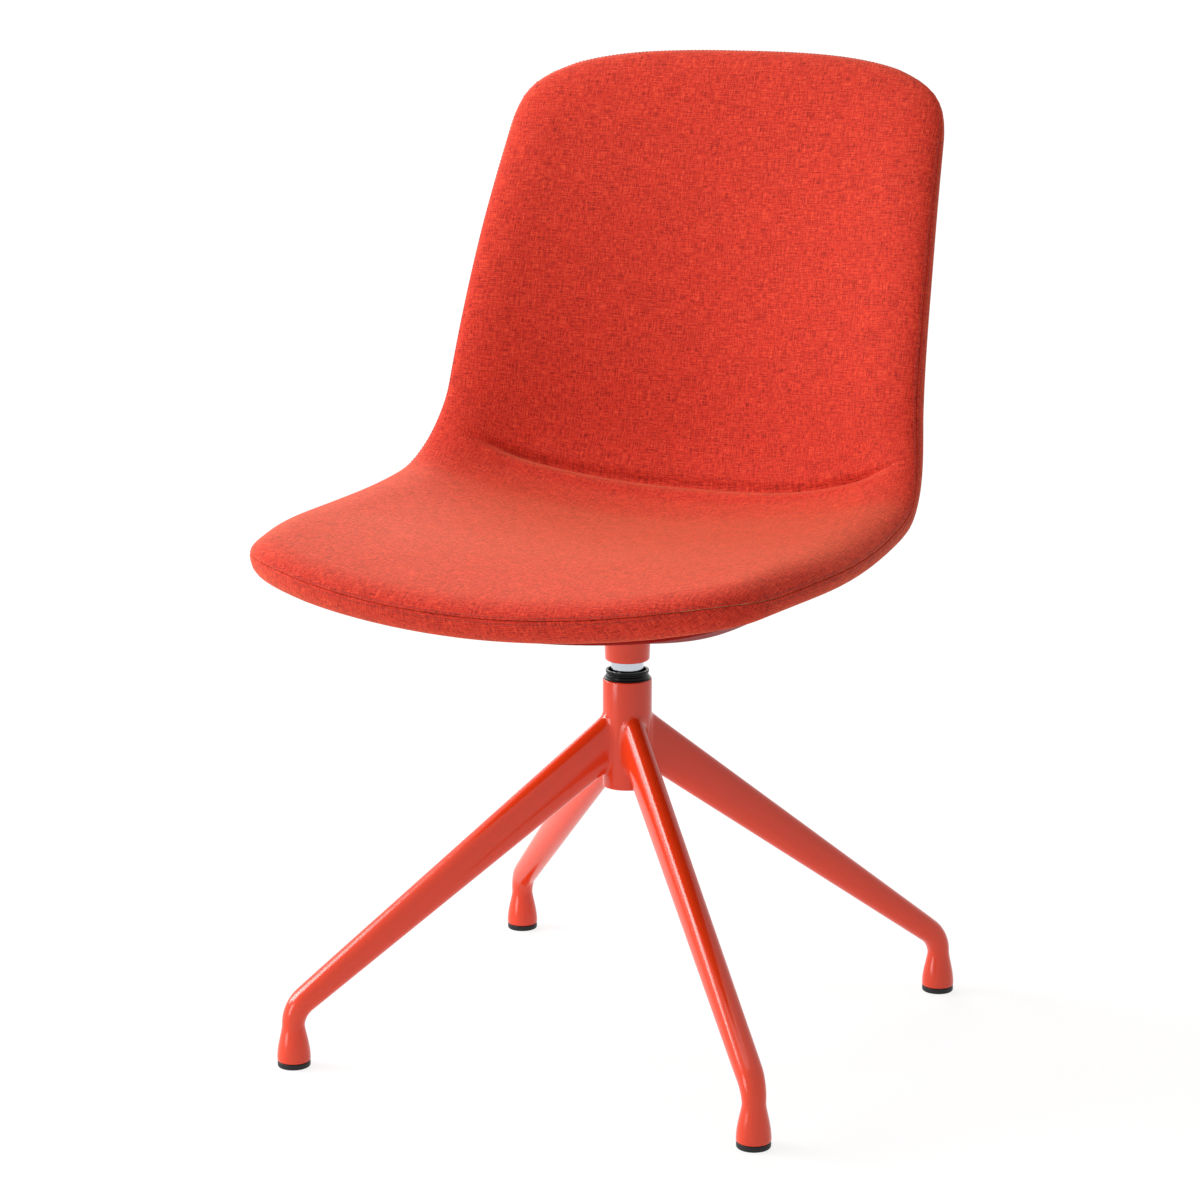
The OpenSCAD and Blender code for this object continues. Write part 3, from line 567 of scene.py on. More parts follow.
@dataclass(frozen=True)
class SeatSurface:
    """Sitting and leaning surface, named by x across and s along it from the front edge up the back."""

    # Middle of the front edge: distance ahead of the axis, height, and rise of the surface in degrees
    front_reach: float = 302.0
    front_z: float = 437.0
    front_rise: float = 11.3
    # Tangent arcs of the profile as (length, turn in degrees): front, pan, bend, lower and upper back
    arcs: tuple[Point, ...] = ((156.0, -12.7), (180.0, 0.9), (143.0, 78.3), (152.0, -2.7), (171.0, -1.5))
    # Second and third station as shares of the seat's length
    seat_stations: Point = (0.45, 0.92)
    # How far the fourth station lies beyond the middle of the bend, and the fifth beyond halfway up
    back_stations: Point = (45.0, 20.0)
    # Half widths and lifts of the sides, at the stations from front to top
    half_widths: tuple[float, ...] = (208.0, 243.0, 239.0, 220.0, 209.0, 199.0)
    lifts: tuple[float, ...] = (19.0, 17.0, 28.0, 54.0, 45.0, 10.0)
    # Power with which the lift grows from the middle outwards, and distance at which it is whole
    lift_power: float = 1.8
    lift_half_w: float = 215.0
    front_corner: Corner = Corner(64.0, 2.2)
    top_corner: Corner = Corner(68.0, 2.8)
    # Where the crease between seat and back lies
    crease_s: float = 414.0

    @cached_property
    def seat_l(self) -> float:
        """Length of the seat along the profile, up to the bend."""
        return self.arcs[0][0] + self.arcs[1][0]

    @cached_property
    def bend_mid(self) -> float:
        """Length along the profile to the middle of the bend."""
        return self.seat_l + self.arcs[2][0] / 2.0

    @cached_property
    def length(self) -> float:
        """Length of the whole profile."""
        return sum(length for length, _ in self.arcs)

    @cached_property
    def stations(self) -> tuple[float, ...]:
        """Lengths at which the half widths and lifts are given."""
        low, high = self.back_stations
        return (0.0, *(share * self.seat_l for share in self.seat_stations), self.bend_mid + low,
                (self.bend_mid + self.length) / 2.0 + high, self.length)

    @cached_property
    def starts(self) -> list[tuple[float, ...]]:
        """Where each arc begins, as (s, y, z, heading)."""
        found = [(0.0, -self.front_reach, self.front_z, self.front_rise)]
        for length, turn in self.arcs[:-1]:
            found.append(self.along(found[-1], length, turn / length))
        return found

    @staticmethod
    def along(start: Sequence[float], length: float, turn_per_mm: float) -> tuple[float, ...]:
        """Follows an arc.

        Args:
            start: Where it begins, as (s, y, z, heading in degrees).
            length: How far to go.
            turn_per_mm: Its turn for each millimetre, in degrees.

        Returns:
            The point reached, as (s, y, z, heading).
        """
        heading = start[3] + turn_per_mm * length
        radius = 1.0 / math.radians(turn_per_mm)
        old, new = math.radians(start[3]), math.radians(heading)
        return (start[0] + length, start[1] + radius * (math.sin(new) - math.sin(old)),
                start[2] - radius * (math.cos(new) - math.cos(old)), heading)

    def profile(self, s: float) -> tuple[float, ...]:
        """Finds the middle of the surface.

        Args:
            s: Length along the profile.

        Returns:
            The point, as (s, y, z, heading).
        """
        i = max(k for k, start in enumerate(self.starts) if k == 0 or start[0] <= s)
        length, turn = self.arcs[i]
        return self.along(self.starts[i], s - self.starts[i][0], turn / length)

    def between(self, s: float, values: Sequence[float]) -> float:
        """Reads a smooth curve through values at the stations.

        Args:
            s: Length along the profile.
            values: One value for each station.

        Returns:
            The value at s.
        """
        at = self.stations
        last = len(at) - 1
        chords = [(values[k + 1] - values[k]) / (at[k + 1] - at[k]) for k in range(last)]

        def slope(k: int) -> float:
            """Finds the slope of the curve.

            Args:
                k: Number of the station.

            Returns:
                The slope there.
            """
            if k in (0, last):
                return chords[min(k, last - 1)]
            a, b = at[k] - at[k - 1], at[k + 1] - at[k]
            return (chords[k - 1] * b + chords[k] * a) / (a + b)

        i = min(last - 1, max(0, sum(k < s for k in at) - 1))
        h = at[i + 1] - at[i]
        t = (s - at[i]) / h
        u, w = t * t, t * t * t
        return ((2 * w - 3 * u + 1) * values[i] + (w - 2 * u + t) * h * slope(i)
                + (3 * u - 2 * w) * values[i + 1] + (w - u) * h * slope(i + 1))

    def half_width(self, s: float) -> float:
        """Half width of the upholstery at s, before its corners round off."""
        return self.between(s, self.half_widths)

    def sitting(self, x: float, s: float) -> Vector:
        """Finds a point of the surface.

        Args:
            x: Place across.
            s: Length along.

        Returns:
            The point.
        """
        _, y, z, heading = self.profile(s)
        lift = self.between(s, self.lifts) * (abs(x) / self.lift_half_w) ** self.lift_power
        turn = math.radians(heading)
        return Vector((x, y - math.sin(turn) * lift, z + math.cos(turn) * lift))

    def under(self, x: float, s: float, depth: float) -> Vector:
        """Finds a point under the surface.

        Args:
            x: Place across.
            s: Length along.
            depth: Depth, square to the surface.

        Returns:
            The point.
        """
        step = 1.0
        across = self.sitting(x + step, s) - self.sitting(x - step, s)
        along = self.sitting(x, s + step) - self.sitting(x, s - step)
        return self.sitting(x, s) - across.cross(along).normalized() * depth


@dataclass(frozen=True)
class SeatRelief:
    """What the taut cover does between seat and back: a sewn-in crease, soft puffs and small folds."""

    surface: SeatSurface
    crease_depth: float = 6.0
    crease_half_w: float = 4.5
    # How far the cover is drawn in round the crease, which leaves a corner between seat and back
    drawn: float = 10.8
    drawn_ahead: float = 60.0
    drawn_behind: float = 72.0
    # How far the crease bows forward between the middle and the left and right sides
    bow: Point = (3.0, 9.0)
    bow_end: float = 290.0
    # Shares of the half width between which the crease fades out, on the left and right
    fades: tuple[Point, Point] = ((0.62, 0.92), (0.72, 0.97))
    puff: float = 2.6
    puff_ahead: float = 14.0
    puff_half_l: float = 8.0
    wander: float = 0.35
    wander_size: float = 42.0
    # Shares of the half width between which the wander fades out
    wander_end: Point = (0.85, 0.95)
    # Small folds at the crease's right end, as (distance behind it, depth)
    folds: tuple[Point, ...] = ((-8.0, 0.5), (2.0, 0.8), (12.0, 0.5))
    fold_half_l: float = 1.9
    # How far a fold runs back over the half width, and the share of it where it lies in its place
    fold_lean: float = 60.0
    fold_middle: float = 0.9
    # Shares of the half width over which the folds begin and end
    fold_start: Point = (0.76, 0.86)
    fold_end: Point = (0.95, 1.0)

    def fold_depth(self, s: float, line: float, across: float) -> float:
        """Depth of the small folds.

        Args:
            s: Length along the cut.
            line: Length at which the crease lies there.
            across: Share of the half width.

        Returns:
            How far the cover lies lower for them.
        """
        lean = self.fold_lean * (across - self.fold_middle)
        depth = sum(deep * bell(s, line + behind + lean, self.fold_half_l) for behind, deep in self.folds)
        return depth * smooth_step(*self.fold_start, across) * (1.0 - smooth_step(*self.fold_end, across))

    def depth(self, x: float, s: float) -> float:
        """Depth of the cover under the plain surface.

        Args:
            x: Place across.
            s: Length along the cut.

        Returns:
            How far the cover lies lower than the plain surface.
        """
        side = int(x > 0.0)
        across = abs(x) / self.surface.half_width(s)
        fade = 1.0 - smooth_step(*self.fades[side], across)
        bowed = math.sin(math.pi * min(1.0, abs(x) / self.bow_end)) ** 2
        line = self.surface.crease_s - self.bow[side] * bowed
        reach = self.drawn_ahead if s < line else self.drawn_behind
        drawn = self.drawn * max(0.0, 1.0 - abs(s - line) / reach) ** 2
        crease = self.crease_depth * bell(s, line, self.crease_half_w)
        puff = self.puff * bell(s, line - self.puff_ahead, self.puff_half_l)
        wander = self.wander * noise.noise(Vector((x, s, 0.0)) / self.wander_size)
        folds = self.fold_depth(s, line, across) if side else 0.0
        return (fade * (drawn + crease - puff) + folds
                + wander * (1.0 - smooth_step(*self.wander_end, across)))


@dataclass(frozen=True)
class SeatGrid:
    """Flat cut of the upholstery: a grid inside a rim, each point as x across and s along."""

    surface: SeatSurface
    # How far the grid's own edge lies inside the rim
    inset: float = 21.0
    columns: int = 56
    # Angle on the rounded corners where the grid's corners lie, and rows from there to the sides
    corner_turn: float = 45.0
    corner_rows: int = 4
    # Spacing of the rows, and their closer spacing within some room round the crease
    row_spacing: float = 11.5
    crease_room: float = 30.0
    crease_spacing: float = 2.0
    # Share of the top corners' length that is left to their own rows
    top_room: float = 0.8
    # Parts of each of the rim's sides when distances from it are measured
    rim_parts: int = 5

    @cached_property
    def rows(self) -> list[float]:
        """Lengths of the rows along the profile."""
        surface = self.surface
        front, top = surface.front_corner, surface.top_corner
        turns = [self.corner_turn * (1 - i / self.corner_rows) for i in range(self.corner_rows)]
        ahead, behind = surface.crease_s - self.crease_room, surface.crease_s + self.crease_room

        def spaced(low: float, high: float, step: float) -> list[float]:
            """Evenly spaced lengths from low up to, but without, high."""
            count = round((high - low) / step)
            return [low + (high - low) * i / count for i in range(count)]

        return ([front.fall(t) for t in turns]
                + spaced(front.length, ahead, self.row_spacing)
                + spaced(ahead, behind, self.crease_spacing)
                + spaced(behind, surface.length - self.top_room * top.length, self.row_spacing)
                + [surface.length - top.fall(t) for t in reversed(turns)])

    def cell(self, k: int) -> tuple[int, int]:
        """Finds a point of the rim in the grid.

        Args:
            k: Number of the point, counter-clockwise from the front left.

        Returns:
            Its column and row.
        """
        nu, nv = self.columns, len(self.rows) - 1
        if k < nu:
            return k, 0
        if k < nu + nv:
            return nu, k - nu
        if k < 2 * nu + nv:
            return 2 * nu + nv - k, nv
        return 0, 2 * (nu + nv) - k

    @cached_property
    def rim(self) -> list[Vector]:
        """Flat points of the rim."""
        nu, nv = self.columns, len(self.rows) - 1
        surface = self.surface
        found = []
        for k in range(2 * (nu + nv)):
            column, row = self.cell(k)
            s = self.rows[row]
            if row in (0, nv):
                f = 2.0 * column / nu - 1.0
                turn = 90.0 - (90.0 - self.corner_turn) * abs(f)
                corner = surface.top_corner if row else surface.front_corner
                s = surface.length - corner.fall(turn) if row else corner.fall(turn)
                share = math.copysign(corner.spread(turn), f)
            else:
                share = surface.front_corner.share(s) * surface.top_corner.share(surface.length - s)
                share = math.copysign(share, column - 1)
            found.append(Vector((share * surface.half_width(s), s)))
        return found

    @cached_property
    def rim_tree(self) -> kdtree.KDTree:
        """Points along the rim, a few millimetres apart, to measure distances from."""
        shares = [i / self.rim_parts for i in range(self.rim_parts)]
        points = [a.lerp(b, t) for a, b in zip(self.rim, [*self.rim[1:], self.rim[0]]) for t in shares]
        tree = kdtree.KDTree(len(points))
        for i, point in enumerate(points):
            tree.insert(point.to_3d(), i)
        tree.balance()
        return tree

    def distance(self, flat: Vector) -> float:
        """Distance of a flat point from the rim."""
        return self.rim_tree.find(flat.to_3d())[2]

    def rim_in(self, k: int, inset: float) -> Vector:
        """Flat point k of the rim, moved inwards."""
        along = self.rim[(k + 1) % len(self.rim)] - self.rim[k - 1]
        return self.rim[k] + inset * Vector((-along.y, along.x)).normalized()

    @cached_property
    def inner(self) -> list[Vector]:
        """Flat points of the grid's own edge."""
        return [self.rim_in(k, self.inset) for k in range(len(self.rim))]

    def fill(self, i: int, j: int) -> Vector:
        """Blends a flat point from the grid's four edges.

        Args:
            i: Its column.
            j: Its row.

        Returns:
            The point.
        """
        nu, nv = self.columns, len(self.rows) - 1
        inner = self.inner
        u = i / nu
        v = (self.rows[j] - self.rows[0]) / (self.rows[nv] - self.rows[0])
        a, b, c, d = inner[0], inner[nu], inner[nu + nv], inner[2 * nu + nv]
        return ((1 - v) * inner[i] + v * inner[2 * nu + nv - i]
                + (1 - u) * inner[-j] + u * inner[nu + j]
                - (1 - v) * ((1 - u) * a + u * b) - v * ((1 - u) * d + u * c))


# Upholstery

@dataclass
class Upholstery:
    """Front cover, back cover, foam pad and topstitching of the seat."""

    finishes: Finishes
    surface: SeatSurface = SeatSurface()
    # Depth of the perimeter seam at the front edge
    seam_front: float = 10.0
    # How much deeper it sinks towards the sides, and how much it rises again up the back, each with
    # the lengths of the cut over which it does so
    seam_sink: float = 9.0
    seam_sink_s: Point = (15.0, 90.0)
    seam_rise: float = 4.0
    seam_rise_s: Point = (250.0, 400.0)
    # Width of the front cover's rounded edge at the front and along the sides, and where it widens
    edge_widths: Point = (25.0, 44.0)
    edge_s: Point = (50.0, 220.0)
    # How far the rounded edge under the seam runs in, and the depth that it reaches
    edge_tuck: float = 13.0
    edge_t: float = 33.0
    # Thickness of the front and back covers, and depth of the back cover's outer face
    front_t: float = 1.1
    back_t: float = 1.4
    back_out: float = 29.8
    # Depths of the foam's upper and lower faces, and down to which it covers the shell's edge
    foam_top: float = 1.8
    foam_low: float = 20.2
    foam_lip: float = 26.5
    # How far the foam lies inside the back cover's outer face, and off the shell's edge
    foam_in: float = 3.3
    soft_gap: float = 0.3
    arc_steps: int = 7
    # Spacing and length of the topstitches
    stitch_pitch: float = 3.6
    stitch_l: float = 2.5
    # Thickness of a stitch, about twice the real one so that it shows
    stitch_d: float = 0.9
    # Heights of the two rows of topstitches above the seam
    stitch_rows: Point = (3.0, -3.2)
    stitch_batch: int = 25
    # Inset, and distance above or below the seam, where a cover folds in at it
    seam_fold: tuple[Point, ...] = ((0.0, 1.1), (0.35, 0.35), (1.2, 0.15), (4.0, 0.06))
    # Open middle of the back cover under the mounting plate: left, right, front and rear
    window: tuple[float, ...] = (-116.0, 116.0, -111.0, 59.0)
    # How far beyond the window the cuts along its sides reach, across and along
    window_room: Point = (20.0, 30.0)
    # Height above the seat's front edge that the window's faces stay under
    window_top: float = 40.0

    def __post_init__(self) -> None:
        """Lays out the relief and the cut."""
        self.relief = SeatRelief(self.surface)
        self.grid = SeatGrid(self.surface)

    def seam_depth(self, s: float) -> float:
        """Depth of the perimeter seam: shallow at the front edge, deeper at the sides."""
        return (self.seam_front + self.seam_sink * smooth_step(*self.seam_sink_s, s)
                - self.seam_rise * smooth_step(*self.seam_rise_s, s))

    def edge_width(self, s: float) -> float:
        """Width of the front cover's rounded edge: narrower round the front of the seat."""
        narrow, wide = self.edge_widths
        return narrow + (wide - narrow) * smooth_step(*self.edge_s, s)

    def edge_drop(self, flat: Vector, t: float) -> float:
        """How far a flat point of the grid, t inside the skin, already drops to the rounded edge."""
        out = max(0.0, 1.0 - (self.grid.distance(flat) - t) / (self.edge_width(flat.y) - t))
        return (self.seam_depth(flat.y) - t) * (1.0 - math.sqrt(1.0 - out * out))

    def place(self, flat: Vector, depth: float, relief: float) -> Vector:
        """Finds a point under a flat point of the cut.

        Args:
            flat: The flat point.
            depth: Depth under the sitting surface.
            relief: Share of the relief that the point takes.

        Returns:
            The point.
        """
        if relief:
            depth += relief * self.relief.depth(flat.x, flat.y)
        return self.surface.under(flat.x, flat.y, depth)

    def upper_rings(self, t: float) -> list[Ring]:
        """Rings of the rounded edge above the seam, from the grid out to the seam.

        Args:
            t: How far inside the outer skin they lie.

        Returns:
            The rings.
        """
        def ring(s: float, share: float) -> Point:
            """Finds a place on the rounded edge.

            Args:
                s: Length along the cut.
                share: Share of the way to the seam.

            Returns:
                Its inset and depth.
            """
            width, height = self.edge_width(s) - t, self.seam_depth(s) - t
            first = math.asin(1.0 - (self.grid.inset - t) / width)
            turn = first + (math.pi / 2 - first) * share
            return t + width * (1 - math.sin(turn)), t + height * (1 - math.cos(turn))

        return [partial(ring, share=i / self.arc_steps) for i in range(1, self.arc_steps + 1)]

    def lower_rings(self, t: float) -> list[Ring]:
        """Rings of the rounded edge under the seam, from the seam in to the underside.

        Args:
            t: How far inside the outer skin they lie.

        Returns:
            The rings.
        """
        def ring(s: float, turn: float) -> Point:
            """Inset and depth at s, at a turn round the edge."""
            seam = self.seam_depth(s)
            return (t + (self.edge_tuck - t) * (1 - math.cos(turn)),
                    seam + (self.edge_t - t - seam) * math.sin(turn))

        return [partial(ring, turn=math.pi / 2 * i / self.arc_steps) for i in range(self.arc_steps + 1)]

    def fold_rings(self, side: float) -> list[Ring]:
        """Rings of a cover's fold at the seam.

        Args:
            side: 1 under the seam and -1 above it.

        Returns:
            The rings.
        """
        def ring(s: float, inset: float, off: float) -> Point:
            """Inset and depth at s."""
            return inset, self.seam_depth(s) + side * off

        return [partial(ring, inset=inset, off=off) for inset, off in self.seam_fold]

    def skin(self, depth: float, relief: float, rings: Sequence[Ring],
             ring_relief: float = 0.0) -> bmesh.types.BMesh:
        """Shapes a grid and the rings round it.

        Args:
            depth: Depth of the grid.
            relief: Share of the relief that the grid takes.
            rings: Rings from the grid's edge outwards.
            ring_relief: Share of the relief that the rings take.

        Returns:
            The mesh, with the flat cut as its UV map.
        """
        grid = self.grid
        nu, nv = grid.columns, len(grid.rows) - 1
        bm = bmesh.new()
        flat_of, at = {}, {}
        for vert in bmesh.ops.create_grid(bm, x_segments=nu, y_segments=nv, size=1.0)["verts"]:
            cell = (round((vert.co.x + 1.0) / 2.0 * nu), round((vert.co.y + 1.0) / 2.0 * nv))
            at[cell] = vert
            flat_of[vert] = grid.fill(*cell)
            drop = self.edge_drop(flat_of[vert], depth) if relief else 0.0
            vert.co = self.place(flat_of[vert], depth + drop, relief)
        ring = [at[grid.cell(k)] for k in range(len(grid.rim))]
        travelled = [0.0] * len(ring)
        for shape in rings:
            flats = [grid.rim_in(k, shape(p.y)[0]) for k, p in enumerate(grid.rim)]
            places = [self.place(p, shape(p.y)[1], ring_relief) for p in flats]
            travelled = [t + (old.co - new).length for t, old, new in zip(travelled, ring, places)]
            ring = extrude_ring(bm, ring, places)
            for k, vert in enumerate(ring):
                flat_of[vert] = grid.rim_in(k, grid.inset - travelled[k])
        layer = bm.loops.layers.uv.new("cut")
        for face in bm.faces:
            for loop in face.loops:
                loop[layer].uv = flat_of[loop.vert] * MM
        return bm

    def add_cloth(self, name: str, bm: bmesh.types.BMesh, node: str, thickness: float) -> bpy.types.Object:
        """Finishes a fabric cover.

        Args:
            name: Name of the piece.
            bm: Its skin, with its faces pointing outwards.
            node: Node that it replaces.
            thickness: Thickness of the fabric and its lining.

        Returns:
            The new object.
        """
        piece = add_piece(name, bm, Body.SEAT, self.finishes.fabric, [node], sharp=180.0,
                          levels=1)
        wall = piece.modifiers.new("Cloth thickness", "SOLIDIFY")
        wall.thickness = thickness * MM
        wall.offset = -1.0
        return piece

    def build_front_cover(self) -> bpy.types.Object:
        """Makes the cover of the sitting surface, which turns in at the seam."""
        bm = self.skin(0.0, 1.0, self.upper_rings(0.0)[:-1] + self.fold_rings(-1.0), ring_relief=1.0)
        return self.add_cloth("front_cover_fabric", bm, "front_cover", self.front_t)

    def build_back_cover(self) -> bpy.types.Object:
        """Makes the cover of the underside and the back, with its open middle.

        Returns:
            The new object.
        """
        lower = list(reversed(self.lower_rings(0.0)))[:-1]
        bm = self.skin(self.back_out, 0.0, lower + self.fold_rings(1.0))
        left, right, front, rear = self.window
        highest = self.surface.front_z + self.window_top

        def within(face: bmesh.types.BMFace, room: Point = (0.0, 0.0)) -> bool:
            """Whether a face's middle lies in the window, or in some room round it."""
            x, y, z = face.calc_center_median()
            return (z < highest and left - room[0] < x < right + room[0]
                    and front - room[1] < y < rear + room[1])

        sides = [((x, 0, 0), (1, 0, 0)) for x in (left, right)]
        sides += [((0, y, 0), (0, 1, 0)) for y in (front, rear)]
        for point, normal in sides:
            near = [f for f in bm.faces if within(f, self.window_room)]
            geom = list({g for f in near for g in (f, *f.edges, *f.verts)})
            bmesh.ops.bisect_plane(bm, geom=geom, dist=ON_PLANE, plane_co=point, plane_no=normal)
        bmesh.ops.delete(bm, geom=[f for f in bm.faces if within(f)], context="FACES")
        bmesh.ops.reverse_faces(bm, faces=bm.faces)
        return self.add_cloth("back_cover_fabric", bm, "back_cover", self.back_t)

    def build_foam(self) -> bpy.types.Object:
        """Makes the foam pad between shell and covers, with the crease of its cover.

        Returns:
            The new object.
        """
        wall = self.grid.inset - self.soft_gap
        rings = self.upper_rings(self.foam_top) + self.lower_rings(self.foam_in)
        rings += [lambda s, depth=depth: (wall, depth) for depth in (self.foam_lip, self.foam_low)]
        bm = self.skin(self.foam_top, 1.0, rings)
        low = self.skin(self.foam_low, 0.0, [])
        bmesh.ops.reverse_faces(low, faces=low.faces)
        absorb(bm, low)
        bmesh.ops.bridge_loops(bm, edges=[e for e in bm.edges if e.is_boundary])
        piece = add_piece("foam_body", bm, Body.SEAT, self.finishes.foam, ["foam_pad"],
                          sharp=60.0)
        return piece

    def stitch_line(self, cover: bpy.types.Object, above: float) -> list[Vector]:
        """Finds a line of stitches on a finished cover.

        Args:
            cover: The cover.
            above: Height above the seam, or below it where negative.

        Returns:
            Points of the line.
        """
        skin = BVHTree.FromObject(cover, bpy.context.evaluated_depsgraph_get())
        guides = [self.surface.under(p.x, p.y, self.seam_depth(p.y) - above) for p in self.grid.rim]
        return [skin.find_nearest(guide * MM)[0] / MM for guide in guides]

    def add_stitches(self, bm: bmesh.types.BMesh, line: Sequence[Vector]) -> None:
        """Adds a row of stitches.

        Args:
            bm: Mesh that takes them.
            line: Closed line that they follow.
        """
        count = len(line)
        lengths = [(line[(k + 1) % count] - line[k]).length for k in range(count)]
        total = sum(lengths)
        stitches = round(total / self.stitch_pitch)
        size = Matrix.Diagonal((self.stitch_d / 2, self.stitch_d / 2, self.stitch_l / 2, 1.0))
        k, passed = 0, 0.0
        some = bmesh.new()
        for i in range(stitches):
            wanted = total * i / stitches
            while passed + lengths[k] < wanted:
                passed += lengths[k]
                k += 1
            a, b = line[k], line[(k + 1) % count]
            middle = a.lerp(b, (wanted - passed) / lengths[k])
            turn = (b - a).to_track_quat("Z", "Y").to_matrix().to_4x4()
            bmesh.ops.create_uvsphere(some, u_segments=6, v_segments=4, radius=1.0,
                                      matrix=Matrix.Translation(middle) @ turn @ size)
            # Operators slow down as a mesh grows, so the stitches are handed over a few at a time
            if i % self.stitch_batch == 0 or i == stitches - 1:
                absorb(bm, some)
                some = bmesh.new()
        some.free()
        LOG.info("%d topstitches along %.0f mm", stitches, total)

    def build_stitches(self, covers: Sequence[bpy.types.Object]) -> bpy.types.Object:
        """Makes the rows of topstitches on both sides of the seam.

        Args:
            covers: Front and back cover.

        Returns:
            The new object.
        """
        bm = bmesh.new()
        for cover, above in zip(covers, self.stitch_rows):
            self.add_stitches(bm, self.stitch_line(cover, above))
        return add_piece("topstitching", bm, Body.SEAT, self.finishes.thread)

    def build(self) -> None:
        """Makes every piece of the upholstery."""
        covers = [self.build_front_cover(), self.build_back_cover()]
        self.build_foam()
        self.build_stitches(covers)


# Base

@dataclass(frozen=True)
class LegShape:
    """One leg: an oval tube from the column down to its bent ankle and bell-shaped foot."""

    # Radius of the circle of feet, and heights where the tube's middle line meets the axis and bends
    circle_r: float = 300.0
    meet_z: float = 273.5
    ankle_z: float = 50.0
    # Oval of the tube: its width, its height at the column and at the bend, and its squareness
    width: float = 22.5
    root_h: float = 41.0
    end_h: float = 22.0
    power: float = 2.3
    bend_r: float = 28.0
    ankle_d: float = 19.5
    # Foot: its diameter, the height of its underside, the rounding of its edge and its flare's power
    foot_d: float = 28.8
    foot_low: float = 5.0
    foot_round: float = 1.6
    flare_power: float = 1.25
    # Flat underside of the foot: how far inside its edge one ring lies, and the radius of the last
    foot_rim: float = 4.0
    foot_middle_r: float = 4.8
    column_r: float = 21.2
    # Weld round the root: how far it stands off the tube, at each distance from the column
    weld: tuple[Point, ...] = ((2.6, -0.4), (2.3, 0.15), (1.2, 0.6), (0.45, 1.5), (0.0, 3.2))
    # How far outside the column the plain tube's first ring lies
    weld_room: float = 20.0
    sides: int = 32
    straight_steps: int = 6
    bend_steps: int = 10
    bell_steps: int = 10
    lip_steps: int = 3

    @cached_property
    def slope(self) -> float:
        """Slope of the straight tube, in radians."""
        return math.atan((self.meet_z - self.ankle_z) / self.circle_r)

    @cached_property
    def tangent(self) -> float:
        """Distance from the bend's corner to its two ends."""
        return self.bend_r * math.tan((math.pi / 2 - self.slope) / 2)

    @cached_property
    def bend_start(self) -> float:
        """Distance of the bend's upper end from the column's axis."""
        return self.circle_r - self.tangent * math.cos(self.slope)

    @cached_property
    def bell_top(self) -> float:
        """Height at which the bend ends and the foot begins."""
        return self.ankle_z - self.tangent

    def section(self, r: float, z: float, slope: float, width: float, height: float,
                grow: float = 0.0) -> list[Vector]:
        """Points round an oval section.

        Args:
            r: Distance of its centre from the column's axis.
            z: Height of its centre.
            slope: Slope of the centreline, in radians.
            width: Width across.
            height: Height, square to the centreline.
            grow: How far outside the tube the points lie.

        Returns:
            The points, with the leg along +X.
        """
        steep = (math.pi / 2 - slope) / (math.pi / 2 - self.slope)
        power = 2.0 / (2.0 + (self.power - 2.0) * steep)
        found = []
        for k in range(self.sides):
            a = math.tau * (k + 0.5) / self.sides
            v = signed_power(math.cos(a), power) * (height / 2 + grow)
            w = signed_power(math.sin(a), power) * (width / 2 + grow)
            found.append(Vector((r + v * math.sin(slope), w, z + v * math.cos(slope))))
        return found

    def straight(self, r: float, grow: float = 0.0) -> list[Vector]:
        """Section of the straight tube.

        Args:
            r: Distance of its centre from the column's axis.
            grow: How far outside the tube the points lie.

        Returns:
            Its points.
        """
        share = (r - self.column_r) / (self.bend_start - self.column_r)
        return self.section(r, self.meet_z - r * math.tan(self.slope), self.slope, self.width,
                            self.root_h + (self.end_h - self.root_h) * share, grow)

    def root(self, grow: float, off: float) -> list[Vector]:
        """Section where the tube, made wider, meets a cylinder round the column.

        Args:
            grow: How far outside the tube the points lie.
            off: How far the cylinder stands off the column.

        Returns:
            Its points.
        """
        found = []
        for a, b in zip(self.straight(0.0, grow), self.straight(self.bend_start, grow)):
            x = math.sqrt((self.column_r + off) ** 2 - a.y ** 2)
            found.append(a.lerp(b, (x - a.x) / (b.x - a.x)))
        return found

    def bend(self) -> list[list[Vector]]:
        """Shapes the bend at the ankle.

        Returns:
            Its rings, from the straight tube down.
        """
        found = []
        for t in (i / self.bend_steps for i in range(1, self.bend_steps + 1)):
            a = self.slope + (math.pi / 2 - self.slope) * t
            found.append(self.section(self.circle_r - self.bend_r * (1 - math.sin(a)),
                                      self.bell_top + self.bend_r * math.cos(a), a,
                                      self.width + (self.ankle_d - self.width) * t,
                                      self.end_h + (self.ankle_d - self.end_h) * t))
        return found

    def foot(self) -> list[list[Vector]]:
        """Shapes the bell-shaped foot.

        Returns:
            Its rings, from the ankle down and in to the middle of its underside.
        """
        ankle_r, foot_r = self.ankle_d / 2, self.foot_d / 2
        bottom = self.foot_low + self.foot_round
        flare = [(ankle_r + (foot_r - ankle_r) * math.cos(math.pi / 2 * t) ** self.flare_power,
                  bottom + (self.bell_top - bottom) * t)
                 for t in (1 - i / self.bell_steps for i in range(1, self.bell_steps + 1))]
        lip = [(foot_r - self.foot_round * (1 - math.cos(a)), bottom - self.foot_round * math.sin(a))
               for a in (math.pi / 2 * i / self.lip_steps for i in range(1, self.lip_steps + 1))]
        under = [(foot_r - self.foot_rim, self.foot_low), (self.foot_middle_r, self.foot_low)]
        return [self.section(self.circle_r, z, math.pi / 2, 2 * radius, 2 * radius)
                for radius, z in (*flare, *lip, *under)]

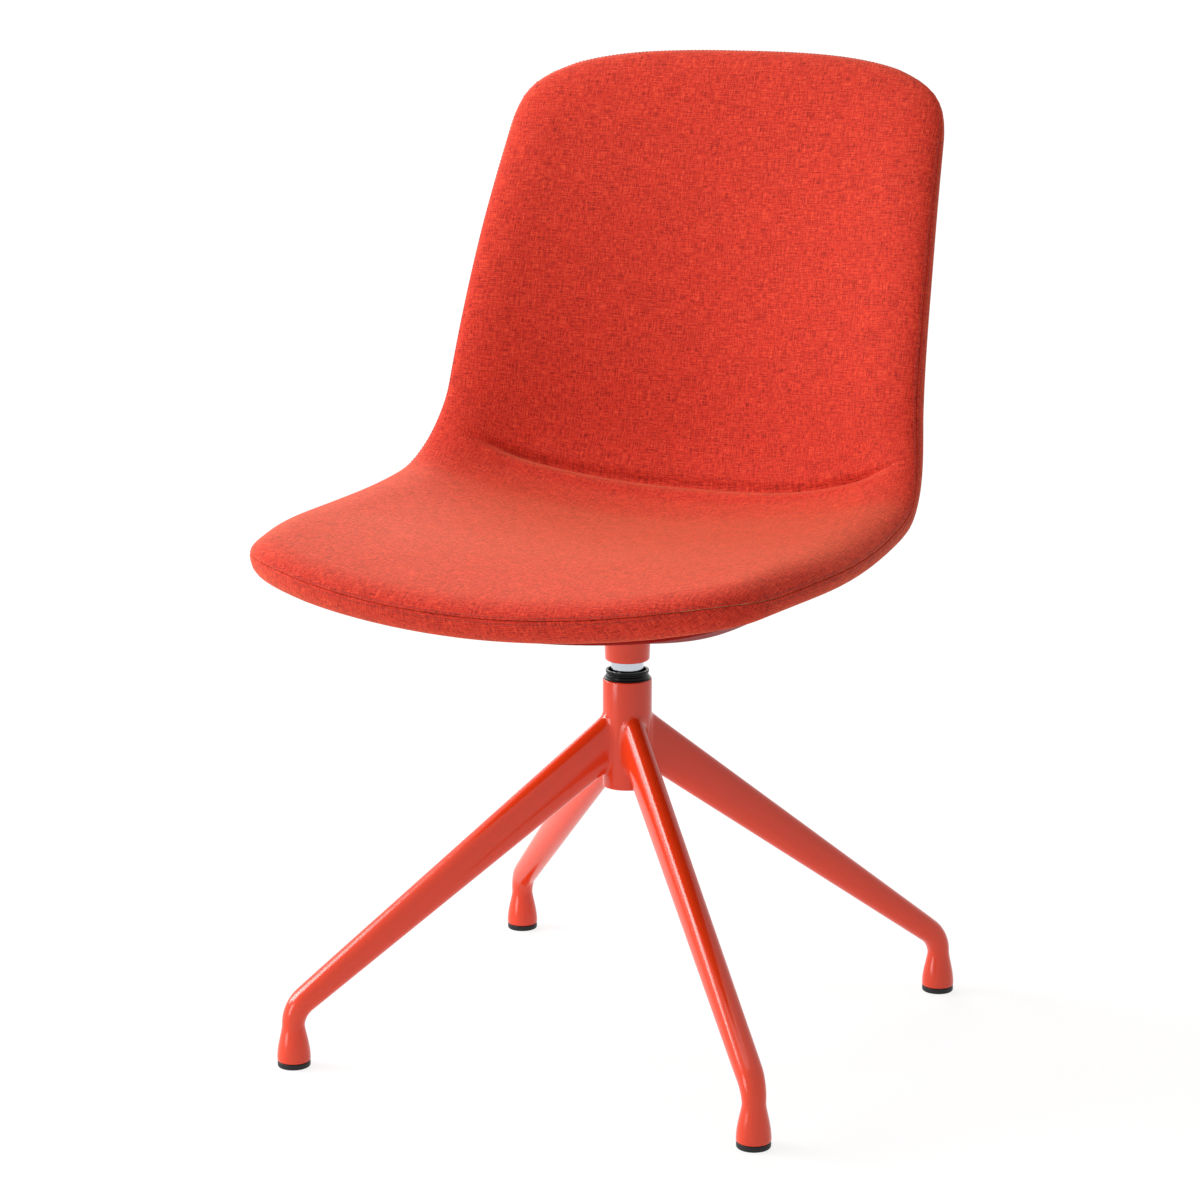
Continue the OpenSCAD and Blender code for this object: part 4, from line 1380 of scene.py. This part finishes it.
    def rings(self) -> list[list[Vector]]:
        """Shapes the whole leg.

        Returns:
            Its rings, from the weld to the middle of the foot's underside.
        """
        first = self.column_r + self.weld_room
        shares = [i / self.straight_steps for i in range(self.straight_steps + 1)]
        return ([self.root(grow, off) for grow, off in self.weld]
                + [self.straight(first + (self.bend_start - first) * share) for share in shares]
                + self.bend() + self.foot())


@dataclass
class Base:
    """Column, four legs, glides and the plug that closes the column from below."""

    finishes: Finishes
    leg: LegShape = LegShape()
    # Directions of the legs in degrees, from +X towards +Y
    legs: tuple[tuple[str, float], ...] = (("front_left", 225.0), ("front_right", 315.0),
                                           ("rear_left", 135.0), ("rear_right", 45.0))
    column_low: float = 220.0
    column_top: float = 315.0
    column_bore: float = 18.6
    column_round: float = 0.9
    # Plug: hollow of its underside as (r, height), inner radius and height of its skirt
    plug_under: tuple[Point, ...] = ((AXIS_R, 0.6), (12.0, 0.2), (16.2, 0.0))
    plug_skirt: Point = (16.6, 8.0)
    plug_t: float = 3.0
    plug_gap: float = 0.05
    plug_round: float = 0.6
    glide_r: float = 14.0
    glide_t: float = 5.0
    # Chamfer of the glide's lower edge, across and up
    glide_chamfer: Point = (0.8, 1.0)
    glide_round: float = 0.5
    stem_r: float = 4.5
    stem_l: float = 16.0

    def build_column(self) -> None:
        """Makes the column tube and its plug."""
        outer, bore = self.leg.column_r, self.column_bore
        low, top = self.column_low, self.column_top
        tube = rounded([(bore, low), (outer, low), (outer, top), (bore, top)], self.column_round)
        add_piece("column_body", revolve(tube, steps=96), Body.BASE, self.finishes.paint,
                  ["column_tube"])
        rim = bore - self.plug_gap
        inside, skirt_h = self.plug_skirt
        plug = [*self.plug_under, (rim, 0.0), (rim, skirt_h), (inside, skirt_h), (inside, self.plug_t),
                (AXIS_R, self.plug_t)]
        plug = rounded([(r, low + height) for r, height in plug], self.plug_round)
        add_piece("column_end_plug", revolve(plug), Body.BASE, self.finishes.black,
                  ["column_plug"])

    def build_leg(self, name: str, angle: float) -> None:
        """Makes one leg and its glide.

        Args:
            name: Which leg.
            angle: Its direction in degrees, from +X towards +Y.
        """
        turn = Matrix.Rotation(math.radians(angle), 4, "Z")
        bm = loft(self.leg.rings(), cap_end=True)
        bmesh.ops.transform(bm, matrix=turn, verts=bm.verts)
        add_piece(f"leg_body_{name}", bm, Body.BASE, self.finishes.paint, [f"leg_{name}"],
                  sharp=55.0, levels=1)
        across, up = self.glide_chamfer
        r, stem_top = self.glide_r, self.glide_t + self.stem_l
        glide = rounded([(AXIS_R, 0.0), (r - across, 0.0), (r, up), (r, self.glide_t),
                         (self.stem_r, self.glide_t), (self.stem_r, stem_top), (AXIS_R, stem_top)],
                        self.glide_round)
        bm = revolve(glide, (self.leg.circle_r, 0.0), steps=48)
        bmesh.ops.transform(bm, matrix=turn, verts=bm.verts)
        add_piece(f"glide_body_{name}", bm, Body.BASE, self.finishes.glide,
                  [f"glide_{name}"])

    def build(self) -> None:
        """Makes every piece of the base."""
        self.build_column()
        for name, angle in self.legs:
            self.build_leg(name, angle)


# Bearing

@dataclass
class Bearing:
    """Upper bush, spindle and collar, which show between the column and the seat."""

    finishes: Finishes
    bore: float = 18.6
    spindle_r: float = 14.0
    spindle_bore: float = 4.0
    spindle_round: float = 1.5
    running_gap: float = 0.08
    flange_r: float = 20.2
    flange_t: float = 1.2
    head_h: float = 8.0
    bush_round: float = 0.35
    # Groove round the bush's head: its depth, and the heights where it begins, is deep and ends
    groove: float = 0.9
    groove_at: tuple[float, ...] = (3.2, 3.8, 5.0, 5.6)
    # Recess in the bush's top, round the spindle
    recess_h: float = 4.0
    recess_w: float = 2.5
    collar_low_r: float = 19.25
    collar_top_r: float = 22.0
    collar_round: float = 2.5
    collar_steps: int = 6
    collar_chamfer: float = 0.6
    # Air between spindle and collar, so that their faces don't lie in one place
    collar_gap: float = 0.02

    def __post_init__(self) -> None:
        """Takes the heights from the frame."""
        self.column_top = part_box("column_tube")[1].z / MM
        self.bush_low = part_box("upper_bush")[0].z / MM
        self.spindle_low, self.spindle_top = (c.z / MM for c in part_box("spindle"))
        self.collar_low, self.collar_top = (c.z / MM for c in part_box("spindle_collar"))

    def build_bush(self) -> None:
        """Makes the black bush with its flange, grooved head and recess."""
        z, top = self.column_top, self.column_top + self.head_h
        hole, lip = self.spindle_r + self.running_gap, self.spindle_r + self.recess_w
        head, deep = self.bore, self.bore - self.groove
        begins, deepens, rises, ends = (z + height for height in self.groove_at)
        outline = [(hole, self.bush_low), (head, self.bush_low), (head, z), (self.flange_r, z),
                   (self.flange_r, z + self.flange_t), (head, z + self.flange_t), (head, begins),
                   (deep, deepens), (deep, rises), (head, ends), (head, top), (lip, top),
                   (lip, top - self.recess_h), (hole, top - self.recess_h)]
        add_piece("bush_body", revolve(rounded(outline, self.bush_round), steps=96), Body.BASE,
                  self.finishes.black, ["upper_bush"])

    def build_spindle(self) -> None:
        """Makes the plated spindle, with rounded edges and its bore for the bolt."""
        low, top = self.spindle_low, self.spindle_top
        outline = rounded([(self.spindle_bore, low), (self.spindle_r, low), (self.spindle_r, top),
                           (self.spindle_bore, top)], self.spindle_round)
        add_piece("spindle_body", revolve(outline, steps=96), Body.SEAT,
                  self.finishes.chrome, ["spindle"])

    def build_collar(self) -> None:
        """Makes the painted collar, which widens up to the mounting plate."""
        low, top = self.collar_low, self.collar_top
        bend = self.collar_round
        outline = [(self.spindle_r + self.collar_gap, low + self.collar_chamfer),
                   (self.spindle_r + self.collar_chamfer, low)]
        for a in (math.pi / 2 * i / self.collar_steps for i in range(self.collar_steps + 1)):
            outline.append((self.collar_low_r - bend * (1 - math.sin(a)), low + bend * (1 - math.cos(a))))
        outline += [(self.collar_top_r, top), (self.spindle_r + self.collar_gap, top)]
        add_piece("collar_body", revolve(outline, steps=96), Body.SEAT, self.finishes.paint,
                  ["spindle_collar"])

    def build(self) -> None:
        """Makes every piece of the bearing."""
        self.build_bush()
        self.build_spindle()
        self.build_collar()


# Under-seat cover

@dataclass
class UnderseatCover:
    """Smooth tray that hides the mounting plate, with its four screws."""

    finishes: Finishes
    surface: SeatSurface
    # Outline: half width, lengths of the profile where it begins and ends, and squareness
    half_w: float = 198.0
    front: float = 33.0
    rear: float = 376.0
    power: float = 4.0
    # Depths under the sitting surface at the outline and at the rim
    edge_depth: float = 42.0
    rim_depth: float = 30.6
    # Share of the outline within which the floor is level, and by which the rim reaches beyond it
    level: float = 0.76
    flare: float = 0.045
    wall: float = 2.5
    # Share of its height above the outer face that the inner face loses towards the edge
    edge_thin: float = 0.6
    # Rim, as share of the outline and depth: its outer side, and its inner side one wall further in
    rim_outside: tuple[Point, ...] = ((-0.006, 4.0), (-0.001, 0.6), (-0.004, 0.0))
    rim_inside: tuple[Point, ...] = ((0.004, 0.0), (0.0, 0.8))
    hole_r: float = 23.5
    hole_round: float = 0.4
    steps: int = 96
    wall_steps: int = 6
    screw_span: Point = (200.0, 110.0)
    screw_middle_y: float = -35.0
    # Half section of a screw as (r, height): recess, head and shank, head down
    screw: tuple[Point, ...] = ((AXIS_R, 1.0), (0.8, 1.0), (0.9, 0.15), (3.0, 0.15), (3.5, 0.6), (3.5, 1.8),
                                (1.6, 1.8), (1.6, 21.8), (AXIS_R, 21.8))
    screw_round: float = 0.2

    def __post_init__(self) -> None:
        """Takes the height of the tray's floor from the frame."""
        self.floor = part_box("underseat_cover")[0].z / MM

    def ring(self, share: float, lift: float, depth: float, rise: float) -> list[Vector]:
        """One ring of the tray.

        Args:
            share: Share of the tray's outline.
            lift: Height above its plain place.
            depth: Depth under the sitting surface that it follows.
            rise: How far it follows that depth, from 0, level, to 1.

        Returns:
            The points of the ring.
        """
        middle, half_l = (self.front + self.rear) / 2, (self.rear - self.front) / 2
        found = []
        for k in range(self.steps):
            a = math.tau * k / self.steps
            x = share * self.half_w * signed_power(math.cos(a), 2.0 / self.power)
            s = middle + share * half_l * signed_power(math.sin(a), 2.0 / self.power)
            p = self.surface.under(x, s, depth)
            found.append(Vector((p.x, p.y, (1 - rise) * self.floor + rise * p.z + lift)))
        return found

    def hole(self, out: float, lift: float) -> list[Vector]:
        """Ring round the collar's hole.

        Args:
            out: Distance outside the hole's edge.
            lift: Height above the tray's floor.

        Returns:
            The points of the ring.
        """
        radius = self.hole_r + out
        return [Vector((radius * math.cos(a), radius * math.sin(a), self.floor + lift))
                for a in (math.tau * k / self.steps for k in range(self.steps))]

    def build_tray(self) -> None:
        """Makes the tray as one closed skin, from the hole out, over the rim and back inside."""
        wall, soft = self.wall, self.hole_round
        thin = wall / self.half_w
        shares = [self.level + (1.0 - self.level) * i / self.wall_steps for i in range(self.wall_steps + 1)]
        rises = [(f, smooth_step(self.level, 1.0, f)) for f in shares]
        outer = [self.ring(f, 0.0, self.edge_depth, r) for f, r in rises]
        inner = [self.ring(f - thin * r, wall * (1 - self.edge_thin * r), self.edge_depth, r)
                 for f, r in rises]
        brim = 1.0 + self.flare
        rim = [self.ring(start + off, 0.0, self.rim_depth + low, 1.0)
               for start, side in ((brim, self.rim_outside), (brim - thin, self.rim_inside))
               for off, low in side]
        edge = [(0.0, wall / 2), (0.0, soft), (soft, 0.0), (4 * soft, 0.0)]
        start = [self.hole(out, lift) for out, lift in edge]
        end = [self.hole(out, wall - lift) for out, lift in reversed(edge)]
        bm = loft([*start, *outer, *rim, *reversed(inner), *end])
        add_piece("underseat_tray", bm, Body.SEAT, self.finishes.cover,
                  ["underseat_cover"], sharp=60.0, levels=1)

    def build_screws(self) -> None:
        """Makes the four screws, each with a small recess in its head."""
        whole = bmesh.new()
        outline = rounded([(r, self.floor + height) for r, height in self.screw], self.screw_round, steps=2)
        for x in (-0.5, 0.5):
            for y in (-0.5, 0.5):
                centre = (x * self.screw_span[0], self.screw_middle_y + y * self.screw_span[1])
                absorb(whole, revolve(outline, centre, steps=24))
        add_piece("tray_screws", whole, Body.SEAT, self.finishes.black, ["cover_screws"])

    def build(self) -> None:
        """Makes the tray and its screws."""
        self.build_tray()
        self.build_screws()


# Nodes that stay as they are

def dress_nodes(finishes: Finishes) -> None:
    """Gives the nodes that stay visible their materials.

    Args:
        finishes: The materials.
    """
    nodes = {finishes.zinc: ["bearing_plate", "retaining_washer", "retaining_bolt", "mounting_plate",
                             "plate_bolts", "spring_washers"],
             finishes.bearing: ["thrust_washer", "lower_bush"],
             finishes.brass: ["threaded_inserts"],
             finishes.shell: ["seat_shell"]}
    for material, names in nodes.items():
        for name in names:
            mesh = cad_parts[name].data
            mesh.materials.clear()
            mesh.materials.append(material)
            LOG.info("%s: dressed in %s", name, material.name)


# Studio

def seen_by(tree: bpy.types.NodeTree, *rays: str) -> bpy.types.NodeSocket:
    """Adds a value that is 1 for some kinds of rays and 0 for others.

    Args:
        tree: Tree that takes the nodes.
        *rays: Outputs of the Light Path node.

    Returns:
        The value.
    """
    path = add_node(tree, "ShaderNodeLightPath")
    seen = path.outputs[rays[0]]
    for ray in rays[1:]:
        seen = add_node(tree, "ShaderNodeMath", links={0: seen, 1: path.outputs[ray]},
                        operation="MAXIMUM").outputs[0]
    return seen


@dataclass(frozen=True)
class SoftBox:
    """A rectangular studio lamp, in metres and watts."""

    name: str
    place: Place
    width: float
    height: float
    watts: float
    aim: Place = (0.0, 0.0, 0.4)

    def build(self) -> None:
        """Puts the lamp in the scene."""
        lamp = bpy.data.lights.new(self.name, "AREA")
        lamp.shape = "RECTANGLE"
        lamp.size, lamp.size_y = self.width, self.height
        lamp.energy = self.watts
        holder = add_object(self.name, lamp)
        holder.location = self.place
        holder.rotation_euler = (Vector(self.aim) - Vector(self.place)).to_track_quat("-Z", "Y").to_euler()


@dataclass(frozen=True)
class Studio:
    """Camera at the photograph's place, soft lamps, white surroundings and a pale floor."""

    # Pinhole camera solved from the photograph's four feet, in metres and degrees
    camera_place: Place = (1.1552, -2.4372, 0.9585)
    camera_turn: Place = (77.9626, 0.0, 25.86)
    lens_mm: float = 96.753
    sensor_mm: float = 36.0
    floor_half: float = 60.0
    lamps: tuple[SoftBox, ...] = (
        SoftBox("overhead_softbox", (-0.2, -0.4, 2.6), 1.8, 1.8, 13.0),
        SoftBox("left_softbox", (-2.15, -0.97, 1.7), 1.1, 1.2, 43.0),
        SoftBox("side_softbox", (-2.5, -0.2, 1.3), 1.0, 1.3, 34.0),
        SoftBox("front_softbox", (-1.5, -2.2, 0.5), 1.0, 0.9, 14.0),
        SoftBox("rear_softbox", (-1.6, 1.8, 2.0), 1.8, 1.8, 44.0),
    )
    # Strength of the surroundings as diffuse light; the camera and reflections see them as white
    ambient: float = 0.51
    floor_colour: str = "#EEEDEB"
    # Strength at which the floor glows white to the camera, and its share under the chair, where the
    # shadow is to show, and farther off
    floor_glow: float = 1.05
    glow_shares: Point = (0.78, 1.0)
    # Distances from the column between which that share rises, in metres
    shadow_reach: Point = (0.5, 2.2)

    def build_camera(self) -> None:
        """Sets the camera."""
        lens = bpy.data.cameras.new("photograph_camera")
        lens.lens, lens.sensor_width = self.lens_mm, self.sensor_mm
        lens.clip_end = 4 * self.floor_half
        camera = add_object("photograph_camera", lens)
        camera.location = self.camera_place
        camera.rotation_euler = [math.radians(a) for a in self.camera_turn]
        bpy.context.scene.camera = camera

    def build_world(self) -> None:
        """Makes white surroundings for the camera and for reflections, and a dimmer light on surfaces."""
        world = bpy.data.worlds.new("white_studio")
        bpy.context.scene.world = world
        tree = bare_tree(world)
        seen = seen_by(tree, "Is Camera Ray", "Is Glossy Ray", "Is Transmission Ray")
        strength = add_node(tree, "ShaderNodeMapRange", {"To Min": self.ambient, "To Max": 1.0},
                            {"Value": seen})
        light = add_node(tree, "ShaderNodeBackground", {"Color": linear(WHITE)},
                         {"Strength": strength.outputs[0]})
        add_node(tree, "ShaderNodeOutputWorld", links={"Surface": light.outputs[0]})

    def floor_paint(self) -> bpy.types.Material:
        """Makes the floor's paint, which glows white to the camera away from the chair."""
        material = bpy.data.materials.new("painted_studio_floor")
        tree = bare_tree(material)
        seen = seen_by(tree, "Is Camera Ray", "Is Glossy Ray")
        place = add_node(tree, "ShaderNodeTexCoord").outputs["Object"]
        away = add_node(tree, "ShaderNodeVectorMath", links={0: place}, operation="LENGTH")
        limits = zip(("From Min", "From Max", "To Min", "To Max"), (*self.shadow_reach, *self.glow_shares))
        fade = add_node(tree, "ShaderNodeMapRange", dict(limits), {"Value": away.outputs["Value"]})
        share = add_node(tree, "ShaderNodeMath", links={0: seen, 1: fade.outputs[0]},
                         operation="MULTIPLY")
        paint = add_node(tree, "ShaderNodeBsdfDiffuse", {"Color": linear(self.floor_colour)})
        glow = add_node(tree, "ShaderNodeEmission", {"Color": linear(WHITE), "Strength": self.floor_glow})
        mixed = add_node(tree, "ShaderNodeMixShader",
                         links={0: share.outputs[0], 1: paint.outputs[0], 2: glow.outputs[0]})
        add_node(tree, "ShaderNodeOutputMaterial", links={"Surface": mixed.outputs[0]})
        return material

    def build_floor(self) -> None:
        """Makes a pale floor that is white to the camera but for the chair's soft shadow."""
        bm = bmesh.new()
        bmesh.ops.create_grid(bm, x_segments=1, y_segments=1, size=self.floor_half)
        mesh = bpy.data.meshes.new("studio_floor")
        bm.to_mesh(mesh)
        bm.free()
        mesh.materials.append(self.floor_paint())
        floor = add_object("studio_floor", mesh)

    def build(self) -> None:
        """Makes the whole studio."""
        bpy.context.scene.view_settings.view_transform = "Standard"
        self.build_camera()
        self.build_world()
        self.build_floor()
        for lamp in self.lamps:
            lamp.build()
        LOG.info("studio with %d lamps", len(self.lamps))


def main() -> None:
    """Builds the studio and the chair."""
    logging.basicConfig(level=logging.INFO, format="%(name)s: %(message)s")
    Studio().build()
    finishes = Finishes()
    upholstery = Upholstery(finishes)
    upholstery.build()
    UnderseatCover(finishes, upholstery.surface).build()
    Base(finishes).build()
    Bearing(finishes).build()
    dress_nodes(finishes)


if __name__ == "__main__":
    main()
